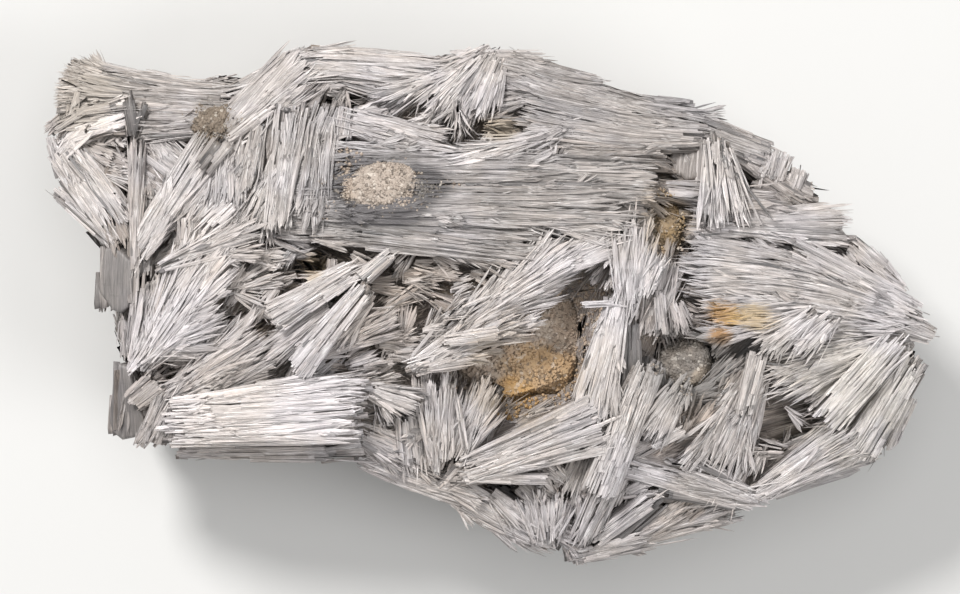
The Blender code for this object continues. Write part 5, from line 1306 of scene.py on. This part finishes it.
def undergrowth(template, per_mm2, wide, long, spread, lean, seed):
    """A crop on the floors. spread and lean say in degrees how far its blades stray from the sheaf and rise."""
    rng = np.random.default_rng(seed)

    def low_and_facing_up(middle, normal):
        down = crest(middle[:, :2]) - middle[:, 2]
        return ((normal[:, 2] > 0.3) * np.clip((down - 1.6) / 1.2, 0, 1) * (down < 14)
                * (from_edge(middle[:, :2]) > 4.5) * ~in_spots(middle, BARE))

    start, normal, _faces = places_on(mass.data, low_and_facing_up, per_mm2, rng)
    best, _off = nearest_sheaf(start[:, :2])
    heading = turned(heading_of(best), np.radians(rng.normal(0, spread, len(start))))
    along = np.concatenate([heading, np.zeros((len(start), 1))], 1)
    rise = np.radians(np.abs(rng.normal(0, lean, len(start))) + 4)
    size = rng.uniform(*long, len(start))
    down = crest(start[:, :2]) - start[:, 2]
    rise = np.minimum(rise, np.arctan(np.maximum(down - 0.6, 0.3) / size))[:, None]
    along = unit(along * np.cos(rise) + UP * np.sin(rise))
    beside = unit(np.cross(UP, along) + rng.normal(0, 0.2, (len(start), 3)))
    face = np.cross(along, beside)
    width = rng.uniform(*wide, len(start))
    points, soft = place_blades(template, start - normal * 0.4, along, beside, face, size, width, width * 0.5)
    # painted shade: deeper blades get a darker tone; they are also stained browner
    low = np.clip((down - 2.0) / 8, 0, 1)
    tints = lone_tints(TINTS[best], (0.08 - 0.10 * low, 0.13), (0.08, 0.6, 0.05), (0.08 + 0.5 * low, 0.08), rng, 0.02)
    return Crop(template, points, tints, lone_map(template, size, width, rng), soft)


short_blades = undergrowth(SHARD, 1.35, (0.3, 0.8), (3.0, 7.0), 14, 14, 41)
needles = undergrowth(NEEDLE, 0.6, (0.18, 0.36), (1.6, 4.2), 40, 22, 42)
harvest("undergrowth", [short_blades, needles], silky)

# %% [markdown]
# ## Broken ends and bare sides
# Where a sheaf has snapped, the ends of its laths stand at slightly different heights. Short laths that stand out of
# the broken faces show that. The sides of the outer blocks get a thin pelt of blades that lie along them.

# %% Laths on the broken ends and on the bare sides
PELT_BOX, PELT_TOP = (70.8, 41.9), 33       # the pelt stays within this half box and below this height
BLOCKS_FROM = 20                            # lower than this, blades may stand in front of a clear block
ENDS_PAST, ENDS_FREE = 0.9, 12              # see broken_ends, in millimetres


def outside_holes(middle):
    return ~in_spots(middle, HOLES) | (middle[:, 2] < FLANK_TOP)


def beside_blocks(places):
    """True for the places that don't hide one of the clear blocks."""
    clear = np.ones(len(places), bool)
    for outline, _lift, _depth, _tint in CLEAR_BLOCKS:
        clear &= np.linalg.norm((places[:, :2] - np.mean(outline, axis=0)) / np.ptp(outline, axis=0), axis=1) > 0.62
    return clear | (places[:, 2] < BLOCKS_FROM)


def within_outline(points, over):
    """True for the blades that reach no further past the outline in plan than over, in millimetres."""
    flat = points[..., :2].reshape(-1, 2)
    past = np.where(inside_outline(flat), 0, from_edge(flat))
    return (past.reshape(points.shape[:2]) < over).all(1)


def broken_ends(name, per_mm2, seed):
    """Short laths on the broken faces. Above ENDS_FREE they end no further than ENDS_PAST beyond the outline."""
    rng = np.random.default_rng(seed)

    def snapped(middle, normal):
        return (np.abs(MASS_FACING) > BROKEN) * outside_holes(middle) * (middle[:, 2] > 0.6)

    start, _normal, faces = places_on(mass.data, snapped, per_mm2, rng)
    axes, count = MASS_AXES[faces], len(start)
    along = AXIS_ALONG[axes] * np.sign(MASS_FACING[faces])[:, None]
    along = unit(along + rng.normal(0, 0.06, (count, 3)))
    beside = unit(np.cross(AXIS_OUT[axes] + rng.normal(0, 0.25, (count, 3)), along))
    face = np.cross(along, beside)
    wide, thick = 0.75 * np.exp(rng.normal(0, 0.4, count)), rng.uniform(0.14, 0.42, count)
    size = 0.6 + rng.uniform(0.3, 2.4, count) * (0.6 + 0.4 * np.sin(start @ np.array([1.9, 2.3, 2.1])))
    points, _soft = place_blades(LATH, start - along * 0.5, along, beside, face, size, wide, thick)
    tints = lone_tints(AXIS_TINT[axes], (-0.06, 0.12), (0.15, 0.35, 0.08), (0.10, 0.1), rng)
    keep = beside_blocks(start) & (within_outline(points, ENDS_PAST) | (start[:, 2] < ENDS_FREE))
    crop = Crop(LATH, points[keep], tints[keep], lone_map(LATH, size, wide, rng)[keep], points[keep] * 0)
    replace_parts(harvest(name, [crop], silky), "tremolite_sheaves")


def pelt(name, per_mm2, seed):
    """Thin blades that lie along the bare sides, a little off the surface at their tips."""
    rng = np.random.default_rng(seed)

    def bare_side(middle, normal):
        return (np.abs(MASS_FACING) < 0.7) * (normal[:, 2] < 0.35) * outside_holes(middle)

    start, normal, faces = places_on(mass.data, bare_side, per_mm2, rng)
    axes, count = MASS_AXES[faces], len(start)
    along = AXIS_ALONG[axes] * rng.choice((-1.0, 1.0), count)[:, None]
    along = unit(along - normal * (along * normal).sum(1, keepdims=True))
    turn = np.radians(rng.normal(0, 6, count))[:, None]
    along = along * np.cos(turn) + np.cross(normal, along) * np.sin(turn)
    rise = np.radians(np.abs(rng.normal(0, 3, count)))[:, None]
    along = unit(along * np.cos(rise) + normal * np.sin(rise))
    beside = unit(np.cross(normal, along))
    face = np.cross(along, beside)
    size = rng.uniform(2.0, 6.5, count)
    wide = np.minimum(0.5 * np.exp(rng.normal(0, 0.5, count)), 0.3 * size)
    points, soft = place_blades(SHARD, start - along * (size * 0.5)[:, None] + normal * 0.02, along, beside, face,
                                size, wide, wide * rng.uniform(0.2, 0.45, count))
    tints = lone_tints(AXIS_TINT[axes], (0.02, 0.10), (0.12, 0.4, 0.06), (0.05, 0.08), rng)
    keep = (np.abs(points[..., :2]) < PELT_BOX).all((1, 2)) & (points[..., 2] < PELT_TOP).all(1)
    keep &= beside_blocks(start)
    crop = Crop(SHARD, points[keep], tints[keep], lone_map(SHARD, size, wide, rng)[keep], soft[keep])
    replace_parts(harvest(name, [crop], silky), "tremolite_sheaves")


broken_ends("broken_ends", 1.6, 51)
pelt("side_pelt", 0.26, 52)

# %% [markdown]
# ## Blades that cross from sheaf to sheaf
# Neighbouring sheaves have grown into each other, so no sharp border shows between them. Single blades lie over the
# borders, turned halfway between the directions of the sheaves that they join.

# %% Crossing blades
FAR_DOWN = -99.0                            # the height where there is no sheaf


def top_of(flat):
    """Height and number of the uppermost sheaf at each place in plan. The height is far down where there is none."""
    away = flat[:, None] - ROOTS
    share = (away * RUNS).sum(2) / LENGTHS ** 2
    off = (away[..., 1] * RUNS[:, 0] - away[..., 0] * RUNS[:, 1]) / LENGTHS
    off = off / blend(HALF_WIDTHS.T, np.clip(share, 0, 1))
    height = crest(flat)[:, None] + LIFTS[:, 0] + (LIFTS[:, 1] - LIFTS[:, 0]) * share
    height = height - 0.16 * HALF_WIDTHS.mean(1) * off ** 2
    height = np.where((share > 0) & (share < 1) & (np.abs(off) < 1), height, FAR_DOWN)
    best = height.argmax(1)
    return height[np.arange(len(flat)), best], best


def crossing_blades(name, count, seed):
    """Blades on top of the sheaves, kept where both their ends lie about as high as their middle."""
    rng = np.random.default_rng(seed)
    flat = rng.uniform((-70, -41), (70, 41), (count * 3, 2))
    height, best = top_of(flat)
    own = heading = heading_of(best)
    for _ in range(3):
        _height, other = top_of(flat + rng.normal(0, 1.6, flat.shape))
        theirs = heading_of(other)
        agree = (theirs * own).sum(1, keepdims=True)
        heading = heading + theirs * np.sign(agree) * np.clip((np.abs(agree) - 0.3) * 2, 0, 1)
    heading = turned(unit(heading), np.radians(rng.normal(0, 5, len(flat))))
    size = rng.uniform(3.0, 9.0, len(flat))
    start, stop = flat - heading * size[:, None] / 2, flat + heading * size[:, None] / 2
    low, _sheaf = top_of(start)
    high, _sheaf = top_of(stop)
    keep = (height > 0) & (np.abs(low - height) < 0.9) & (np.abs(high - height) < 0.9) & (TINTS[best, 1] < 0.3)
    pick = np.flatnonzero(keep & ~in_spots(flat, BARE))[:count]
    start = np.concatenate([start, low[:, None] - 0.25], 1)[pick]
    stop = np.concatenate([stop, high[:, None] + rng.uniform(-0.1, 0.35, (len(flat), 1))], 1)[pick]
    start[:, 2] = np.maximum(start[:, 2], height[pick] - 0.5)
    along, size = unit(stop - start), np.linalg.norm(stop - start, axis=1)
    out = crest_normal(flat[pick]) + rng.normal(0, 0.12, (len(pick), 3))
    beside = unit(np.cross(out, along))
    face = np.cross(along, beside)
    wide = np.minimum(0.26 * np.exp(rng.normal(0, 0.45, len(pick))), 0.25 * size)
    thick = wide * rng.uniform(0.12, 0.35, len(pick))
    points, soft = place_blades(SPLINTER, start, along, beside, face, size, wide, thick)
    tones = np.clip(TINTS[best[pick], 0] + rng.normal(0.03, 0.10, len(pick)), 0.05, 1)
    glassy = np.where(rng.random(len(pick)) < 0.05, 0.5, rng.uniform(0, 0.15, len(pick)))
    stains = np.clip(TINTS[best[pick], 2] + rng.normal(0, 0.06, len(pick)), 0, 1)
    tints = np.stack([tones, glassy, stains], 1)
    crop = Crop(SPLINTER, points, tints, lone_map(SPLINTER, size, wide, rng), soft)
    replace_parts(harvest(name, [crop], silky), "tremolite_sheaves")


crossing_blades("crossing_blades", 3500, 61)

# %% [markdown]
# ## Small fans in the gaps
# The sheaves of the solid model leave open gaps down to its core. In the real stone most of them are filled nearly to
# the top with small fans. So a jittered grid of places is looked over, and a fan is grown wherever the uppermost sheaf
# lies too low.

# %% Gap fans
def gap_fans(spacing, seed):
    """Small fans for the low places that are clear of the outline and of every bare place."""
    rng = np.random.default_rng(seed)
    grid = np.stack(np.meshgrid(np.arange(-70, 71, spacing), np.arange(-41, 42, spacing)), -1).reshape(-1, 2)
    flat = grid + rng.uniform(-0.4, 0.4, grid.shape) * spacing
    height, _top = top_of(flat)
    margin = np.where(flat[:, 1] < -16, 2.0, 3.2)           # the fans may come closer to the lower edge
    wanted = inside_outline(flat) & (from_edge(flat) > margin) & (height < crest(flat) - 1.0)
    flat = flat[wanted & ~in_spots(flat, BARE, 1.2)]
    best, _off = nearest_sheaf(flat)
    made = []
    for place, sheaf in zip(flat, best):
        heading = math.atan2(*RUNS[sheaf][::-1]) + math.radians(rng.normal(0, 22))
        size, wide, lift = rng.uniform(4, 8), rng.uniform(1.6, 3.2), rng.uniform(-1.5, -0.4)
        half = np.array([math.cos(heading), math.sin(heading)]) * size / 2
        tone, glass, stain = TINTS[sheaf]
        made.append(Sheaf("", tuple(place - half), tuple(place + half), (wide * 0.7, wide), 2.5,
                          (lift - 0.5, lift + rng.uniform(0, 0.6)), 0, FAN, min(tone, 0.72) + rng.normal(0, 0.06),
                          min(glass, 0.15), stain + rng.uniform(0.02, 0.14)))
    return made


GAP_FANS = gap_fans(3.0, 71)
print(len(GAP_FANS), "gap fans")
grow_region("gap_fans", GAP_FANS, 72, 0.46)

# %% [markdown]
# ## The finish of the dolomite
# The matrix is a sugary rock: a mass of tiny rhombs, beige to grey, rusted to ochre where water has stood. The lumps
# keep their solids and get a mottled dull finish.

# %% Finish of the dolomite
# middle in plan, radius in millimetres, colour
STAINS = [
    ((13.5, 2), 8.0, (0.50, 0.39, 0.30)), ((7.5, -11), 6.5, (0.50, 0.34, 0.19)),
    ((3.5, -15.5), 4.5, (0.50, 0.31, 0.13)), ((27.4, 13), 5.5, (0.30, 0.21, 0.11)),
    ((30, -9.6), 6.5, (0.19, 0.175, 0.16)), ((33, -12), 2.5, (0.36, 0.30, 0.24)),
    ((-43.8, 28.4), 5.5, (0.19, 0.155, 0.12)), ((-25, 18.4), 2.8, (0.13, 0.125, 0.12)),
    ((-10, 17.8), 2.8, (0.14, 0.135, 0.13)), ((-21.5, 14.6), 2.4, (0.14, 0.135, 0.13)),
    ((-17.4, 18), 6.0, (0.42, 0.36, 0.31)),
]


def dolomite_finish(name):
    made, tree, shader, start, place = new_finish(name)
    mottle = place.noise(330.0, 4.0, 0.65).step(0.35, 0.68)
    patch = place.noise(90.0, 3.0, 0.6).step(0.35, 0.68)
    grain = place.out("ShaderNodeTexVoronoi", 1, {}, Vector=place, Scale=2200.0)
    speck = place.out("ShaderNodeSeparateColor", 0, {}, Color=grain)
    rock = patch.mix((0.36, 0.275, 0.215), (0.42, 0.35, 0.295))
    flat = place.scaled(IN_PLAN)
    rock = (mottle * 0.55).mix(rock, (0.44, 0.38, 0.31))
    for (x, y), radius, colour in STAINS:
        away = start.out("ShaderNodeVectorMath", 1, {"operation": "DISTANCE"}, i0=flat, i1=(x * MM, y * MM, 0))
        near = 1 - (away + (patch - 0.5) * (radius * 0.5 * MM)).step(radius * 0.55 * MM, radius * MM)
        rock = (near * (0.95 - mottle * 0.3)).mix(rock, colour)
    rock = ((1 - speck.step(0.06, 0.16)) * 0.6).mix(rock, (0.10, 0.085, 0.07))
    rock = (speck.step(0.86, 0.95) * 0.4).mix(rock, (0.72, 0.67, 0.60))
    shader.inputs["Specular IOR Level"].default_value = 0.3
    connect(name, tree, shader, rock, 0.72 + speck * 0.2, speck * 0.6 + mottle * 0.4, 0.0003)
    return made


dolomite = dolomite_finish("sugary_dolomite")

# %% [markdown]
# ## The grains of the dolomite
# Real little rhombs stand on the lumps and on the floor of the pocket, so that the surface glitters and catches
# shadow. A few are strewn over the blades round the crusts.

# %% Grains of the dolomite
def rhomb_template():
    bm = bmesh.new()
    bmesh.ops.create_cube(bm, size=1)
    for vert in bm.verts:
        vert.co.x += 0.28 * vert.co.z
        vert.co.y += 0.2 * vert.co.z
    made = Template(np.array([v.co[:] for v in bm.verts]), [[v.index for v in f.verts] for f in bm.faces])
    bm.free()
    return made


RHOMB = rhomb_template()


def grains_at(middle, size, rng):
    """A crop of rhombs, one round each place and each turned its own way."""
    count = len(middle)
    axes = unit(rng.normal(size=(count, 3)))
    other = unit(np.cross(axes, rng.normal(size=(count, 3))))
    third = np.cross(axes, other)
    scale = blend(size, rng.random(count) ** 2)[:, None]
    points = np.stack([middle + scale * (axes * x + other * y + third * z) for x, y, z in RHOMB.points], 1)
    return Crop(RHOMB, points, np.ones((count, 3)), np.zeros((count, len(RHOMB.points), 2)), points * 0)


def grains_on(mesh, per_mm2, size, seed, hidden=FAR_DOWN):
    """Rhombs half sunk in a surface. On the mass they keep to the pocket, and no sheaf hides them."""
    rng = np.random.default_rng(seed)

    def bare(middle, normal):
        _best, off = nearest_sheaf(middle[:, :2])
        inside = in_spots(middle, POCKET, 1.3) & (crest(middle[:, :2]) - middle[:, 2] > 2)
        return (normal[:, 2] > -0.05) * (off > hidden) * (inside | (mesh is not mass.data))

    middle, _normal, _faces = places_on(mesh, bare, per_mm2, rng)
    return grains_at(middle, size, rng)


def loose_grains(margins, size, seed):
    """Rhombs strewn round the crusts, ever thinner away from them, so that no crust has a clean edge."""
    rng = np.random.default_rng(seed)
    flat = []
    for centre, axes, count in margins:
        angle, share = rng.uniform(0, 2 * math.pi, count), 0.75 + 0.9 * rng.random(count) ** 1.6
        share = share * (1 + 0.2 * np.sin(3 * angle + centre[0]) + 0.15 * np.sin(7 * angle))
        flat.append(np.array(centre) + np.array(axes) * share[:, None] * np.stack([np.cos(angle), np.sin(angle)], 1))
    flat = np.concatenate(flat)
    height, _top = top_of(flat)
    flat, height = flat[height > 0], height[height > 0]
    return grains_at(np.concatenate([flat, (height + rng.uniform(-0.35, 0.05, len(flat)))[:, None]], 1), size, rng)


def grain_bed(seed):
    """Rhombs on the floor of the right-hand crust, where the sheaves leave the mass bare."""
    rng = np.random.default_rng(seed)

    def floor(middle, normal):
        return (normal[:, 2] > 0.3) * in_spots(middle, CRUSTS[1:2], 1.3)

    middle, _normal, _faces = places_on(mass.data, floor, 8, rng)
    return grains_at(middle, (0.2, 0.55), rng)


MARGINS = [((-17.4, 18), (6.0, 3.3), 1100), ((30.5, -8.8), (3.6, 3.0), 700), ((-43.8, 28.4), (2.6, 1.9), 450),
           ((27.3, 12.4), (1.5, 3.2), 350), ((-12.4, 17.3), (2.0, 1.5), 500), ((-22.4, 19.7), (1.5, 0.9), 180),
           ((27.4, -8.3), (1.9, 1.6), 300), ((33.8, -9.3), (1.5, 1.7), 200)]
CRUST_NODES = ("dolomite_crust_ridge", "dolomite_crust_right", "dolomite_crust_shoulder", "dolomite_crust_pillar")
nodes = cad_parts
crust_crops = [grains_on(nodes[node].data, 8, (0.15, 0.42), 32 + index) for index, node in enumerate(CRUST_NODES)]
for name, crops in (
        ("pocket_grains", [grains_on(nodes["dolomite_pocket"].data, 5.2, (0.15, 0.5), 31, -1.2)]),
        ("margin_grains", [grains_on(mass.data, 3.7, (0.15, 0.5), 30, -1.2)]),
        ("crust_grains", [*crust_crops, loose_grains(MARGINS, (0.15, 0.42), 40), grain_bed(41)])):
    harvest(name, crops, dolomite)
for node, piece in nodes.items():
    if node.startswith("dolomite"):
        piece.data.materials.clear()
        piece.data.materials.append(dolomite)
